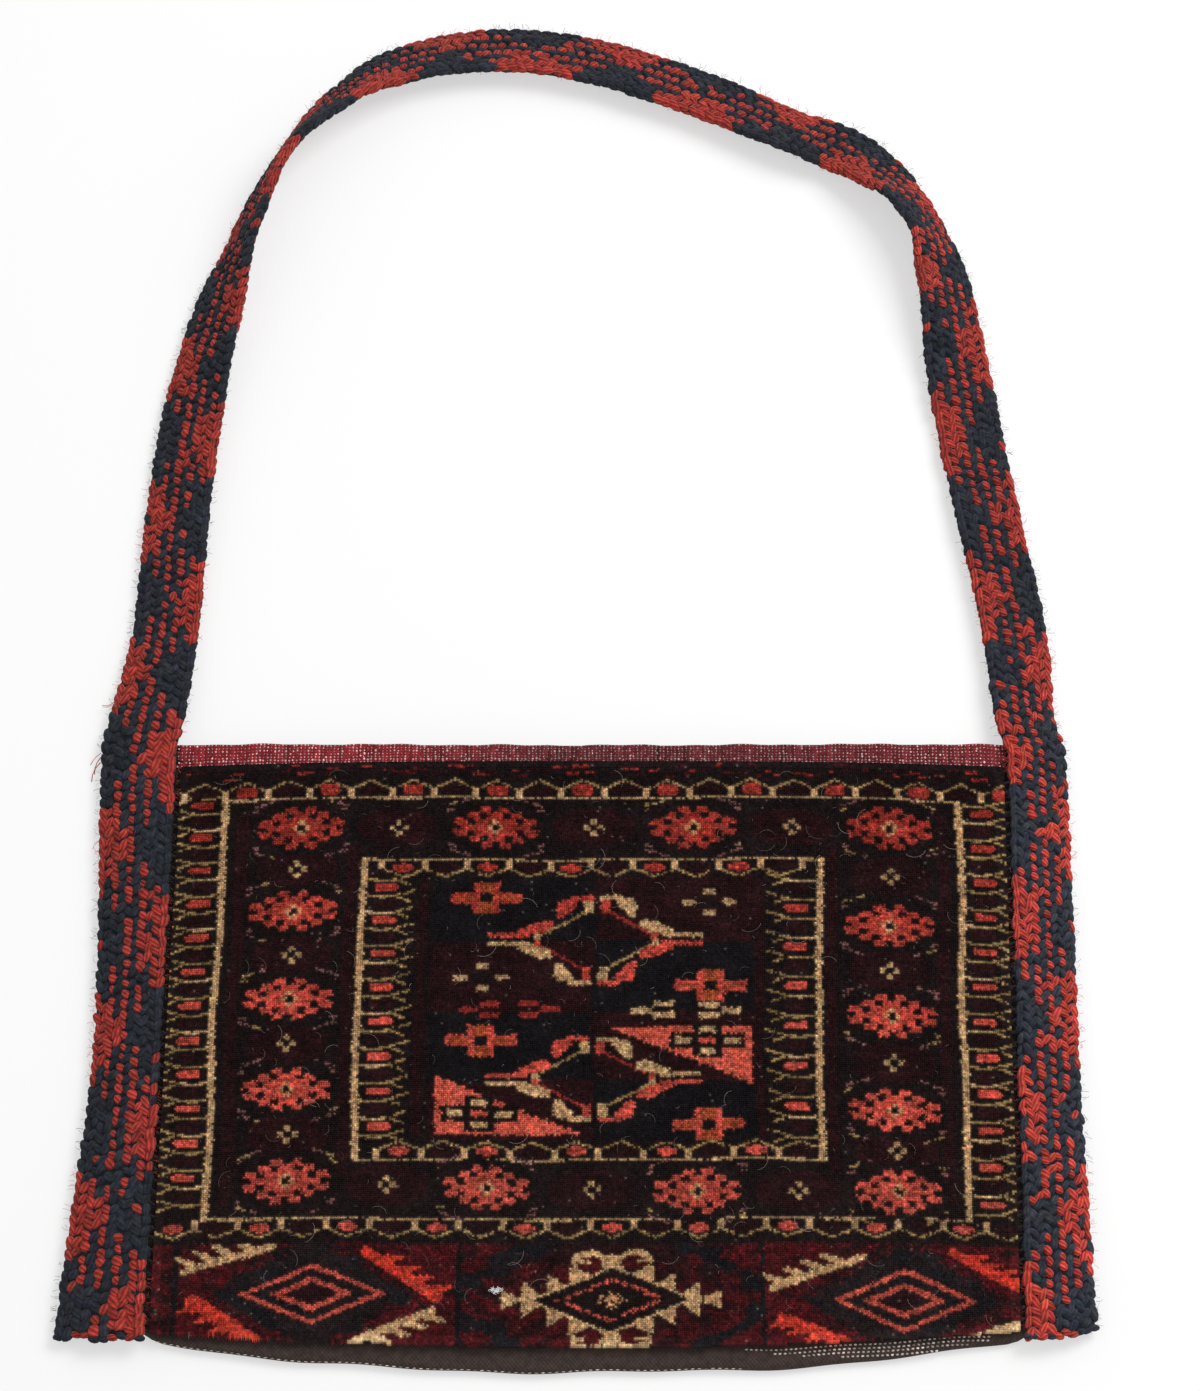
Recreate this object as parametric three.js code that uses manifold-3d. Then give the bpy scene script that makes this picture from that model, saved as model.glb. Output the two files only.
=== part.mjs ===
// Small shoulder bag of knotted wool pile, lying on its back with the front up and the band laid in a loop.
// Millimetres. +Z is up from the surface it lies on, +Y runs from the bottom fold to the mouth and on to the
// crown of the loop, +X is to the right as the front is seen. The origin is the centre of the back's rest face.
import * as THREE from 'three';
import { mergeVertices } from 'three/addons/utils/BufferGeometryUtils.js';
import Module from 'manifold-3d';

const wasm = await Module();
wasm.setup();

// The pouch: a length of flat weave turned under at the bottom and sewn up at both sides.
const BODY_LENGTH = 253.5;
const PILE_WIDTH = 334;
const CLOTH = 2.4;
const POCKET_RISE = 9;
const POCKET_MARGIN = 3;
const POCKET_THINNEST = 0.2;
const POCKET_TURN = 0.76;
const FOLD_BOW = 12;
const FOLD_BOW_POWER = 2.5;
const SIDE_POWER = 3;
const FOLD_ROUND = 2.6;
const FOLD_WALL = 5;
const MARGIN_OVERLAP = 6;
const FOLD_ASIDE = 3;
const MOUTH_RISE = 0.8;
const MOUTH_BOW = 2.6;

// The pile of the front, and the strip of flat weave left bare at the mouth.
const PILE_HEIGHT = 4.5;
const MOUTH_BAND = 7.5;
const MOUTH_BAND_PROUD = 0.9;
const PILE_BOTTOM_GAP = 6.1;
const PILE_CORNER_GAP = 0.4;
const MOTIF_PROUD = 1.0;
const LAYER_GAP = 0.3;

// The drawing of the front, from the pile's edges inward.
const BAR = 4;
const SIDE_GUARD = 19;
const TOP_GUARD = 16;
const SKIRT_LENGTH = 39;
const CHAIN = 9.2;
const RUNG_WIDTH = 1.3;
const RUNG_LENGTH = 12;
const RUNG_PITCH = 7.2;
const CHAIN_PITCH = 17.2;
const CHAIN_HEIGHT = 6.4;
const INNER_CHAIN_HEIGHT = 4.4;
const CHAIN_LINE = 1.3;
const CHAIN_FOOT = 3.6;
const ROSETTE_WIDTH = 39;
const ROSETTE_HEIGHT = 17;
const ROSETTE_EYE = 3;
const ROSETTE_CLEAR = 1.05;
const ROSETTE_SIDE_CLEAR = 7;
const TOP_BORDER_EXTRA = 3.9;
const MEDALLION_WIDTH = 80;
const MEDALLION_HEIGHT = 38;
const MEDALLION_PITCH = 57;
const MEDALLION_DROP = 2.2;
const MEDALLION_SLIT = 2.4;
const CROSS_WIDTH = 27;
const CROSS_HEIGHT = 12.6;
const CROSS_OUT = 45.5;
const CROSS_UP = 16.4;
const HALF_DIAMOND_WIDTH = 54;
const HALF_DIAMOND_HEIGHT = 22.5;
const HALF_DIAMOND_INNER_X = 8;
const SKIRT_FIGURE_WIDTH = 84;
const SKIRT_FIGURE_HEIGHT = 32;
const SKIRT_FIGURE_LINE = 5;
const SKIRT_DIAMOND_X = 114;
const SKIRT_DIAMOND_WIDTH = 56;
const SKIRT_DIAMOND_HEIGHT = 22.5;
const SKIRT_INNER_WIDTH = 31;
const SKIRT_INNER_HEIGHT = 13;
const SKIRT_LINE = 3.4;
const FLAME_LENGTH = 37;
const FLAME_WIDTH = 8;
const FLAME_REACH = 5.5;

// The shoulder band: one braid, sewn to both sides of the pouch and free between.
const BAND_THICKNESS = 5;
const BAND_FREE_WIDTH = 28;
const BAND_LEFT_END = 35;
const BAND_LEFT_MIDDLE = 27.5;
const BAND_LEFT_MOUTH = 32;
const BAND_RIGHT_END = 28.2;
const BAND_RIGHT_MIDDLE = 25.5;
const BAND_RIGHT_MOUTH = 24.5;
const LOOP_RISE = 331.7;
const BAND_SETTLE = 55;
const BAND_RELIEF = 0.7;
const BAND_STEPS = 168;
const BAND_COLUMNS = 6;
const BAND_END_ROOM = 3;
const BAND_EDGE_LIFT = 0.6;
const SEAT_GAP = 0.4;

// The sewing thread along the inner edges of the band.
const THREAD = 1.0;
const THREAD_CLEAR = 0.4;
const THREAD_WAVE = 0.35;
const THREAD_STITCH = 16;

// The loop's middle line: share of the width between the sewn stretches, share of the rise, roll in degrees.
const LOOP_POINTS = [
  [0.0055, 0.033, 2],
  [0.0231, 0.167, 5],
  [0.0289, 0.301, 9],
  [0.0403, 0.44, 14],
  [0.0622, 0.578, 31],
  [0.0979, 0.7175, 59],
  [0.1394, 0.828, 69],
  [0.2051, 0.918, 47],
  [0.2792, 0.9725, 27],
  [0.3925, 0.997, 20],
  [0.5067, 0.9805, 18],
  [0.644, 0.926, 17],
  [0.7408, 0.8736, 23],
  [0.7973, 0.85, 14],
  [0.837, 0.8174, 25],
  [0.873, 0.7715, 43],
  [0.8987, 0.7187, 49],
  [0.9149, 0.6506, 31],
  [0.9307, 0.515, 9],
  [0.9392, 0.446, 5],
  [0.9602, 0.301, 9],
  [0.981, 0.1625, 10],
  [0.9895, 0.034, 3],
];

const WOOL = { roughness: 0.92, metalness: 0 };
const COLOURS = {
  brown: 0x3a2f2c,
  redWeave: 0x9a2438,
  pile: 0x1a0e11,
  cream: 0xc4a468,
  red: 0xcf4030,
  band: 0x9c3329,
  thread: 0x3a2a26,
};

// Places that follow from the sizes.
const MOUTH_Y = BODY_LENGTH / 2;
const FOLD_Y = -BODY_LENGTH / 2;
const PILE_HALF = PILE_WIDTH / 2;
const PILE_TOP_Y = MOUTH_Y - MOUTH_BAND;
const PILE_BOTTOM_Y = FOLD_Y + FOLD_ROUND + PILE_BOTTOM_GAP;
const SEAM_CHANNEL = THREAD + 2 * THREAD_CLEAR;
const BAND_INNER_X = PILE_HALF + SEAM_CHANNEL;
const CLOTH_HALF = BAND_INNER_X + MARGIN_OVERLAP;
const POCKET_HALF = PILE_HALF - POCKET_MARGIN;
const MARGIN_TOP = 2 * CLOTH;
const FRAME_HALF = PILE_HALF - SIDE_GUARD;
const FRAME_TOP = PILE_TOP_Y - TOP_GUARD;
const SKIRT_TOP = PILE_BOTTOM_Y + SKIRT_LENGTH;
const FRAME_BOTTOM = SKIRT_TOP + CHAIN;
const BOTTOM_BORDER = ROSETTE_HEIGHT + BAR + 2 * ROSETTE_CLEAR;
const TOP_BORDER = BOTTOM_BORDER + TOP_BORDER_EXTRA;
const INNER_HALF = FRAME_HALF - ROSETTE_WIDTH - BAR - 2 * ROSETTE_SIDE_CLEAR;
const INNER_TOP = FRAME_TOP - TOP_BORDER;
const INNER_BOTTOM = FRAME_BOTTOM + BOTTOM_BORDER;
const FIELD_Y = (INNER_TOP + INNER_BOTTOM) / 2 - MEDALLION_DROP;

function smooth(t) {
  const s = Math.min(1, Math.max(0, t));
  return s * s * (3 - 2 * s);
}

function sideShare(x) {
  return Math.min(1, Math.abs(x) / PILE_HALF);
}

// Height of the pocket at a point: closed at the side seams and the fold, a little open at the mouth.
function pocketGap(x, y) {
  const across = 1 - Math.pow(sideShare(x), SIDE_POWER);
  const along = Math.min(1, Math.max(0, (y - FOLD_Y) / BODY_LENGTH));
  return POCKET_RISE * across * Math.sin(POCKET_TURN * Math.PI * along);
}

function foldEdge(x) {
  return FOLD_Y + FOLD_BOW * Math.pow(sideShare(x), FOLD_BOW_POWER);
}

// The swelling draws the middle of the mouth in, so its ends stand past it.
function mouthEdge(x) {
  return MOUTH_Y + MOUTH_RISE + MOUTH_BOW * Math.pow(sideShare(x), 2);
}

function pileEdge(x) {
  const corner = Math.pow(sideShare(x), SIDE_POWER);
  return foldEdge(x) + FOLD_ROUND + PILE_BOTTOM_GAP + corner * (PILE_CORNER_GAP - PILE_BOTTOM_GAP);
}

function clothTop(x, y) {
  return MARGIN_TOP + pocketGap(x, y);
}

// A box of nx by ny by nz cells whose corners are carried to new places by a function of three shares, 0 to 1.
function shapedBox(nx, ny, nz, place) {
  const box = new THREE.BoxGeometry(1, 1, 1, nx, ny, nz);
  box.deleteAttribute('normal');
  box.deleteAttribute('uv');
  const merged = mergeVertices(box, 1e-5);
  const points = merged.attributes.position;
  for (let i = 0; i < points.count; i += 1) {
    const spot = place(points.getX(i) + 0.5, points.getY(i) + 0.5, points.getZ(i) + 0.5);
    points.setXYZ(i, spot[0], spot[1], spot[2]);
  }
  return merged;
}

function toSolid(geometry) {
  const bare = geometry.clone();
  bare.deleteAttribute('normal');
  bare.deleteAttribute('uv');
  const merged = mergeVertices(bare, 1e-4);
  const vertProperties = new Float32Array(merged.attributes.position.array);
  const triVerts = new Uint32Array(merged.index.array);
  return new wasm.Manifold(new wasm.Mesh({ numProp: 3, vertProperties, triVerts }));
}

function toGeometry(solid) {
  const mesh = solid.getMesh();
  const geometry = new THREE.BufferGeometry();
  geometry.setAttribute('position', new THREE.BufferAttribute(new Float32Array(mesh.vertProperties), 3));
  geometry.setIndex(new THREE.BufferAttribute(new Uint32Array(mesh.triVerts), 1));
  return geometry;
}

function joined(solids) {
  return wasm.Manifold.union(solids);
}

const bag = new THREE.Group();

// The pouch lies a little askew: from the mouth down, everything moves sideways, by FOLD_ASIDE at the fold.
function layAskew(geometry) {
  const points = geometry.attributes.position;
  for (let i = 0; i < points.count; i += 1) {
    const below = Math.min(0, points.getY(i) - MOUTH_Y);
    points.setX(i, points.getX(i) + (FOLD_ASIDE * below) / BODY_LENGTH);
  }
}

function addPiece(name, geometry, colour) {
  const shaded = geometry.clone();
  layAskew(shaded);
  shaded.computeVertexNormals();
  const mesh = new THREE.Mesh(shaded, new THREE.MeshStandardMaterial({ color: colour, ...WOOL }));
  mesh.name = name;
  bag.add(mesh);
}

// Pouch.
const PLAN_X = 12;
const PLAN_Y = 10;

// The cloth has the pile's own cells, and more around them: a margin on each side, the round of the fold,
// the bare cloth between fold and pile, and the strip at the mouth.
function clothX(u) {
  const cell = u * (PLAN_X + 2);
  if (cell < 0.5) {
    return -CLOTH_HALF;
  }
  if (cell > PLAN_X + 1.5) {
    return CLOTH_HALF;
  }
  return ((2 * (cell - 1)) / PLAN_X - 1) * PILE_HALF;
}

const FOLD_CELLS = 3;
const CLOTH_ROWS = FOLD_CELLS + 1 + PLAN_Y + 1;

function pileRow(x, share) {
  return pileEdge(x) + share * (PILE_TOP_Y - pileEdge(x));
}

function clothY(x, row) {
  if (row <= FOLD_CELLS) {
    return foldEdge(x) + FOLD_ROUND * (1 - Math.cos((row / FOLD_CELLS) * (Math.PI / 2)));
  }
  return row < CLOTH_ROWS ? pileRow(x, (row - FOLD_CELLS - 1) / PLAN_Y) : mouthEdge(x);
}

function pouchOuter() {
  const lowEdge = CLOTH / 3;
  return shapedBox(PLAN_X + 2, CLOTH_ROWS, 1, (u, v, w) => {
    const x = clothX(u);
    const row = Math.round(v * CLOTH_ROWS);
    const y = clothY(x, row);
    const rise = Math.sin((Math.min(row, FOLD_CELLS) / FOLD_CELLS) * (Math.PI / 2));
    return [x, y, w * (lowEdge + (clothTop(x, y) - lowEdge) * rise)];
  });
}

function pocketSpace() {
  const pastMouth = CLOTH;
  return shapedBox(PLAN_X, PLAN_Y, 1, (u, v, w) => {
    const x = (2 * u - 1) * POCKET_HALF;
    const start = foldEdge(x) + FOLD_WALL;
    const y = start + v * (mouthEdge(x) + pastMouth - start);
    return [x, y, CLOTH + w * (POCKET_THINNEST + pocketGap(x, y))];
  });
}

addPiece('woven_pouch', toGeometry(toSolid(pouchOuter()).subtract(toSolid(pocketSpace()))), COLOURS.brown);

// Pile and the bare strip at the mouth. Every other layer is built a quarter turned, so that the diagonals of
// two faces lying on one another run the same way.
function layerSpot(across, along, level) {
  const x = (2 * across - 1) * PILE_HALF;
  const y = pileRow(x, along);
  return [x, y, clothTop(x, y) + level];
}

function layer(bottom, top) {
  return shapedBox(PLAN_X, PLAN_Y, 1, (u, v, w) => layerSpot(u, v, bottom + w * (top - bottom)));
}

function turnedLayer(bottom, top) {
  return shapedBox(PLAN_Y, PLAN_X, 1, (u, v, w) => layerSpot(1 - v, u, bottom + w * (top - bottom)));
}

const pileLevel = LAYER_GAP + PILE_HEIGHT;
const bandStart = PILE_TOP_Y + LAYER_GAP;
addPiece('knotted_pile', turnedLayer(LAYER_GAP, pileLevel), COLOURS.pile);

function mouthBand() {
  return shapedBox(PLAN_X, 1, 1, (u, v, w) => {
    const x = (2 * u - 1) * PILE_HALF;
    const y = bandStart + v * (mouthEdge(x) - bandStart);
    return [x, y, clothTop(x, y) + LAYER_GAP + w * MOUTH_BAND_PROUD];
  });
}

addPiece('mouth_flatweave', mouthBand(), COLOURS.redWeave);

// Motifs: upright prisms cut to a thin crowned layer that lies on the pile.
const motifLevel = pileLevel + LAYER_GAP;
const motifLayer = toSolid(layer(motifLevel, motifLevel + MOTIF_PROUD));
const PRISM_HEIGHT = 2 * (MARGIN_TOP + POCKET_RISE + motifLevel + MOTIF_PROUD);

function block(x0, y0, x1, y1) {
  const geometry = new THREE.BoxGeometry(Math.abs(x1 - x0), Math.abs(y1 - y0), PRISM_HEIGHT);
  geometry.translate((x0 + x1) / 2, (y0 + y1) / 2, PRISM_HEIGHT / 2);
  return toSolid(geometry);
}

function blockAt(cx, cy, width, height) {
  return block(cx - width / 2, cy - height / 2, cx + width / 2, cy + height / 2);
}

function prism(points) {
  const shape = new THREE.Shape(points.map((p) => new THREE.Vector2(p[0], p[1])));
  return toSolid(new THREE.ExtrudeGeometry(shape, { depth: PRISM_HEIGHT, bevelEnabled: false }));
}

function addMotif(name, solid, colour) {
  addPiece(name, toGeometry(solid.intersect(motifLayer)), colour);
}

function spread(from, to, pitch) {
  const count = Math.max(2, Math.round((to - from) / pitch) + 1);
  return Array.from({ length: count }, (_, i) => from + ((to - from) * i) / (count - 1));
}

// A frame of four bars with rungs to the sides and a chain of low arches above and below.
// Way is 1 where rungs and arches stand outside the bars and -1 where they stand inside.
function ladderFrame(half, bottom, top, way, archHeight) {
  const b = BAR / 2;
  const parts = [
    block(-half - b, bottom - b, -half + b, top + b),
    block(half - b, bottom - b, half + b, top + b),
    block(-half - b, top - b, half + b, top + b),
    block(-half - b, bottom - b, half + b, bottom + b),
  ];
  const inset = way > 0 ? 0 : archHeight + RUNG_PITCH;
  spread(bottom + inset, top - inset, RUNG_PITCH).forEach((y) => {
    [-1, 1].forEach((side) => {
      const foot = side * half;
      const tip = side * (half + way * (b + RUNG_LENGTH));
      parts.push(block(foot, y - RUNG_WIDTH / 2, tip, y + RUNG_WIDTH / 2));
    });
  });
  const reach = half - (way > 0 ? 0 : CHAIN_PITCH / 2);
  const feet = spread(-reach, reach, CHAIN_PITCH);
  [[top, way], [bottom, -way]].forEach(([level, up]) => {
    const tip = level + up * (b + archHeight);
    const line = tip - up * CHAIN_LINE;
    feet.forEach((x) => {
      parts.push(block(x - CHAIN_FOOT / 2, level, x + CHAIN_FOOT / 2, tip));
    });
    parts.push(block(feet[0], line, feet[feet.length - 1], tip));
  });
  return joined(parts);
}

const outerFrame = ladderFrame(FRAME_HALF, FRAME_BOTTOM, FRAME_TOP, 1, CHAIN_HEIGHT);
const innerFrame = ladderFrame(INNER_HALF, INNER_BOTTOM, INNER_TOP, -1, INNER_CHAIN_HEIGHT);
addMotif('outer_ladder_frame', outerFrame, COLOURS.cream);
addMotif('inner_ladder_frame', innerFrame, COLOURS.cream);

// A flower with a toothed edge, built of rows of knots: shares of the half width and half height.
const ROSETTE_CORE = [0.82, 0.44];
const ROSETTE_WING = [0.15, 0.44];
const ROSETTE_SHOULDER = [0.62, 0.72];
const ROSETTE_HORN = [0.05, 0.36];

function rosette(cx, cy) {
  const w = ROSETTE_WIDTH / 2;
  const h = ROSETTE_HEIGHT / 2;
  const shoulder = w * ROSETTE_SHOULDER[0];
  const parts = [blockAt(cx, cy, 2 * w * ROSETTE_CORE[0], 2 * h * ROSETTE_CORE[1])];
  [-1, 1].forEach((up) => {
    parts.push(block(cx - w, cy + up * h * ROSETTE_WING[0], cx + w, cy + up * h * ROSETTE_WING[1]));
    parts.push(block(cx - shoulder, cy, cx + shoulder, cy + up * h * ROSETTE_SHOULDER[1]));
    [-1, 1].forEach((side) => {
      parts.push(block(cx + side * w * ROSETTE_HORN[0], cy, cx + side * w * ROSETTE_HORN[1], cy + up * h));
    });
  });
  return joined(parts).subtract(blockAt(cx, cy, ROSETTE_EYE, ROSETTE_EYE));
}

const borderX = (FRAME_HALF + INNER_HALF) / 2;
const topRowY = (FRAME_TOP + INNER_TOP) / 2;
const bottomRowY = (FRAME_BOTTOM + INNER_BOTTOM) / 2;
const rosetteSpots = [];
[-1, -1 / 3, 1 / 3, 1].forEach((share) => {
  rosetteSpots.push([share * borderX, topRowY], [share * borderX, bottomRowY]);
});
[0.25, 0.5, 0.75].forEach((share) => {
  const y = bottomRowY + share * (topRowY - bottomRowY);
  rosetteSpots.push([-borderX, y], [borderX, y]);
});
rosetteSpots.forEach(([x, y], i) => {
  addMotif(`rosette_${String(i + 1).padStart(2, '0')}`, rosette(x, y), COLOURS.red);
});

// One quarter of a medallion's outline: four steps of knots from its side point to its top point, each with
// its outer and inner share of the half width and its low and high share of the half height.
const MEDALLION_STEPS = [
  [1, 0.62, 0, 0.16],
  [0.7, 0.42, 0.1, 0.5],
  [0.46, 0.2, 0.42, 0.84],
  [0.24, 0.04, 0.78, 1],
];

function medallionQuarter(cx, cy, sideX, sideY) {
  const halfWidth = MEDALLION_WIDTH / 2;
  const slit = MEDALLION_SLIT / 2;
  const height = MEDALLION_HEIGHT / 2 - slit;
  return joined(MEDALLION_STEPS.map(([outer, inner, low, high]) => block(
    cx + sideX * outer * halfWidth,
    cy + sideY * (slit + low * height),
    cx + sideX * (inner * (halfWidth - slit) + slit),
    cy + sideY * (slit + high * height),
  )));
}

const medallionYs = { upper: FIELD_Y + MEDALLION_PITCH / 2, lower: FIELD_Y - MEDALLION_PITCH / 2 };
Object.entries(medallionYs).forEach(([which, y]) => {
  addMotif(`medallion_${which}_top_left`, medallionQuarter(0, y, -1, 1), COLOURS.red);
  addMotif(`medallion_${which}_top_right`, medallionQuarter(0, y, 1, 1), COLOURS.cream);
  addMotif(`medallion_${which}_low_left`, medallionQuarter(0, y, -1, -1), COLOURS.cream);
  addMotif(`medallion_${which}_low_right`, medallionQuarter(0, y, 1, -1), COLOURS.red);
});

function crossFigure(cx, cy) {
  const third = CROSS_HEIGHT / 3;
  const arms = joined([blockAt(cx, cy, CROSS_WIDTH, third), blockAt(cx, cy, CROSS_WIDTH / 2, CROSS_HEIGHT)]);
  return arms.subtract(blockAt(cx, cy, CROSS_WIDTH / 4, third));
}

Object.entries(medallionYs).forEach(([which, y]) => {
  addMotif(`cross_${which}_left`, crossFigure(-CROSS_OUT, y + CROSS_UP), COLOURS.red);
  addMotif(`cross_${which}_right`, crossFigure(CROSS_OUT, y - CROSS_UP), COLOURS.red);
});

// Half diamond in a corner of the field, with a bar left dark in it. The bar's place and size are shares.
const DARK_BAR = { inward: 0.32, down: 0.3, width: 0.36, height: 0.22 };

function halfDiamond(way) {
  const y = medallionYs.lower;
  const tipX = way * HALF_DIAMOND_INNER_X;
  const wallX = way * (HALF_DIAMOND_INNER_X + HALF_DIAMOND_WIDTH);
  const base = y + way * HALF_DIAMOND_HEIGHT;
  const barX = wallX - way * HALF_DIAMOND_WIDTH * DARK_BAR.inward;
  const barY = base - way * HALF_DIAMOND_HEIGHT * DARK_BAR.down;
  const hole = blockAt(barX, barY, HALF_DIAMOND_WIDTH * DARK_BAR.width, HALF_DIAMOND_HEIGHT * DARK_BAR.height);
  return prism([[tipX, base], [wallX, base], [wallX, base - way * HALF_DIAMOND_HEIGHT]]).subtract(hole);
}

addMotif('half_diamond_right', halfDiamond(1), COLOURS.red);
addMotif('half_diamond_left', halfDiamond(-1), COLOURS.red);

// Skirt below the frames.
const skirtY = (PILE_BOTTOM_Y + SKIRT_TOP) / 2;

function diamond(cx, cy, width, height) {
  return [[cx - width / 2, cy], [cx, cy + height / 2], [cx + width / 2, cy], [cx, cy - height / 2]];
}

function diamondRing(cx, cy, width, height, line) {
  const slope = height / width;
  const inset = line * Math.sqrt(1 + slope * slope) / slope;
  const inner = diamond(cx, cy, width - inset, height - inset * slope);
  return prism(diamond(cx, cy, width, height)).subtract(prism(inner));
}

addMotif(
  'skirt_figure',
  diamondRing(0, skirtY, SKIRT_FIGURE_WIDTH, SKIRT_FIGURE_HEIGHT, SKIRT_FIGURE_LINE),
  COLOURS.cream,
);
[['left', -1], ['right', 1]].forEach(([side, way]) => {
  const x = way * SKIRT_DIAMOND_X;
  const outer = diamondRing(x, skirtY, SKIRT_DIAMOND_WIDTH, SKIRT_DIAMOND_HEIGHT, SKIRT_LINE);
  const inner = diamondRing(x, skirtY, SKIRT_INNER_WIDTH, SKIRT_INNER_HEIGHT, SKIRT_LINE);
  addMotif(`skirt_diamond_${side}_outer`, outer, COLOURS.red);
  addMotif(`skirt_diamond_${side}_inner`, inner, COLOURS.red);
});

// A flame: a slanting leaf with three teeth on its upper side, from a skirt corner towards the diamond.
// The outline is in shares of its length and width.
const FLAME_OUTLINE = [
  [0, 0], [0.3, 0.35], [0.36, 1], [0.55, 0.6], [0.62, 1.25], [0.8, 0.85], [1, 1.3], [0.7, 0.2],
];
const FLAME_SLOPE = 0.154;
const FLAME_SQUASH = 0.55;
const FLAME_BASE = 0.33;

function flame(x, sideX, sideY) {
  const middle = SKIRT_LENGTH / 2 - FLAME_REACH - FLAME_WIDTH;
  const points = FLAME_OUTLINE.map(([along, up]) => {
    const dx = (along - 0.5) * FLAME_LENGTH;
    const dy = (up * FLAME_SQUASH - FLAME_BASE) * FLAME_WIDTH + dx * FLAME_SLOPE;
    return [x + sideX * dx, skirtY + sideY * (middle + dy)];
  });
  return prism(sideX * sideY < 0 ? points.reverse() : points);
}

[['left', -1], ['right', 1]].forEach(([side, way]) => {
  const middle = way * SKIRT_DIAMOND_X;
  const out = FLAME_LENGTH / 2 + FLAME_WIDTH;
  addMotif(`flame_${side}_top_outer`, flame(middle + way * out, -way, 1), way < 0 ? COLOURS.cream : COLOURS.red);
  addMotif(`flame_${side}_top_inner`, flame(middle - way * out, way, 1), way < 0 ? COLOURS.red : COLOURS.cream);
  addMotif(`flame_${side}_low_outer`, flame(middle + way * out, -way, -1), way < 0 ? COLOURS.red : COLOURS.cream);
  addMotif(`flame_${side}_low_inner`, flame(middle - way * out, way, -1), way < 0 ? COLOURS.cream : COLOURS.red);
});

// Shoulder band. Each station of its middle line carries a width, a roll and how far it is lifted by the pouch.
function bandStations() {
  const sewnLift = MARGIN_TOP + SEAT_GAP;
  const low = foldEdge(BAND_INNER_X) + BAND_END_ROOM;
  const sewnYs = [low, (low + MOUTH_Y) / 2, MOUTH_Y];
  const sewn = (side, widths) => sewnYs.map((y, i) => (
    { x: side * (BAND_INNER_X + widths[i] / 2), y, width: widths[i], roll: 0, lift: sewnLift }
  ));
  const left = sewn(-1, [BAND_LEFT_END, BAND_LEFT_MIDDLE, BAND_LEFT_MOUTH]);
  const right = sewn(1, [BAND_RIGHT_END, BAND_RIGHT_MIDDLE, BAND_RIGHT_MOUTH]);
  const leftX = left[2].x;
  const rightX = right[2].x;
  const free = LOOP_POINTS.map(([share, rise, roll]) => {
    const sewnShare = 1 - smooth((rise * LOOP_RISE) / BAND_SETTLE);
    const sewnWidth = share < 0.5 ? BAND_LEFT_MOUTH : BAND_RIGHT_MOUTH;
    return {
      x: leftX + share * (rightX - leftX),
      y: MOUTH_Y + rise * LOOP_RISE,
      width: BAND_FREE_WIDTH + sewnShare * (sewnWidth - BAND_FREE_WIDTH),
      roll: THREE.MathUtils.degToRad(roll),
      lift: sewnShare * sewnLift,
    };
  });
  return [...left, ...free, ...right.reverse()];
}

function shoulderBand() {
  const stations = bandStations();
  const line = new THREE.CatmullRomCurve3(stations.map((s) => new THREE.Vector3(s.x, s.y, 0)));
  line.arcLengthDivisions = 40 * stations.length;
  const traits = stations.map((s) => new THREE.Vector3(s.width, s.roll, s.lift));
  const traitAt = (t) => {
    const place = t * (traits.length - 1);
    const i = Math.min(traits.length - 2, Math.floor(place));
    return traits[i].clone().lerp(traits[i + 1], smooth(place - i));
  };
  const up = new THREE.Vector3(0, 0, 1);
  return shapedBox(BAND_STEPS, BAND_COLUMNS, 1, (u, v, w) => {
    const t = line.getUtoTmapping(u);
    const trait = traitAt(t);
    const [width, roll, lift] = [trait.x, trait.y, trait.z];
    const tangent = line.getTangent(t);
    const out = new THREE.Vector3(-tangent.y, tangent.x, 0).normalize();
    const across = out.clone().multiplyScalar(Math.cos(roll)).addScaledVector(up, -Math.sin(roll));
    const normal = up.clone().multiplyScalar(Math.cos(roll)).addScaledVector(out, Math.sin(roll));
    const step = Math.round(u * BAND_STEPS) + Math.round(v * BAND_COLUMNS);
    const rim = v < 0.01 || v > 0.99;
    const valley = step % 2 === 0 || rim ? 0 : BAND_RELIEF;
    const level = (w - 0.5) * (BAND_THICKNESS - 2 * valley - (rim ? BAND_RELIEF : 0));
    const droop = Math.max(0, lift - BAND_EDGE_LIFT) * Math.pow(v, 3);
    const middle = lift + (width / 2) * Math.sin(roll) + (BAND_THICKNESS / 2) * Math.cos(roll);
    const spot = line.getPoint(t).setZ(middle - droop);
    if (spot.y < MOUTH_Y) {
      spot.x = Math.sign(spot.x) * (BAND_INNER_X + width / 2);
    }
    spot.addScaledVector(across, (v - 0.5) * width).addScaledVector(normal, level);
    return [spot.x, spot.y, spot.z];
  });
}

addPiece('shoulder_strap', shoulderBand(), COLOURS.band);

// Seam threads, lying in the channel between the band and the pile.
function seamThread(side) {
  const x = side * (PILE_HALF + SEAM_CHANNEL / 2);
  const low = foldEdge(x) + FOLD_ROUND + THREAD;
  const length = MOUTH_Y - THREAD - low;
  const level = MARGIN_TOP + LAYER_GAP + THREAD / 2 + THREAD_WAVE;
  const stitches = Math.max(2, Math.round(length / THREAD_STITCH));
  return shapedBox(2 * stitches, 1, 1, (u, v, w) => {
    const height = level + (Math.round(u * 2 * stitches) % 2 === 0 ? -THREAD_WAVE : THREAD_WAVE);
    return [x + (0.5 - v) * THREAD, low + u * length, height + (w - 0.5) * THREAD];
  });
}

addPiece('seam_thread_left', seamThread(-1), COLOURS.thread);
addPiece('seam_thread_right', seamThread(1), COLOURS.thread);

export default bag;
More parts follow.
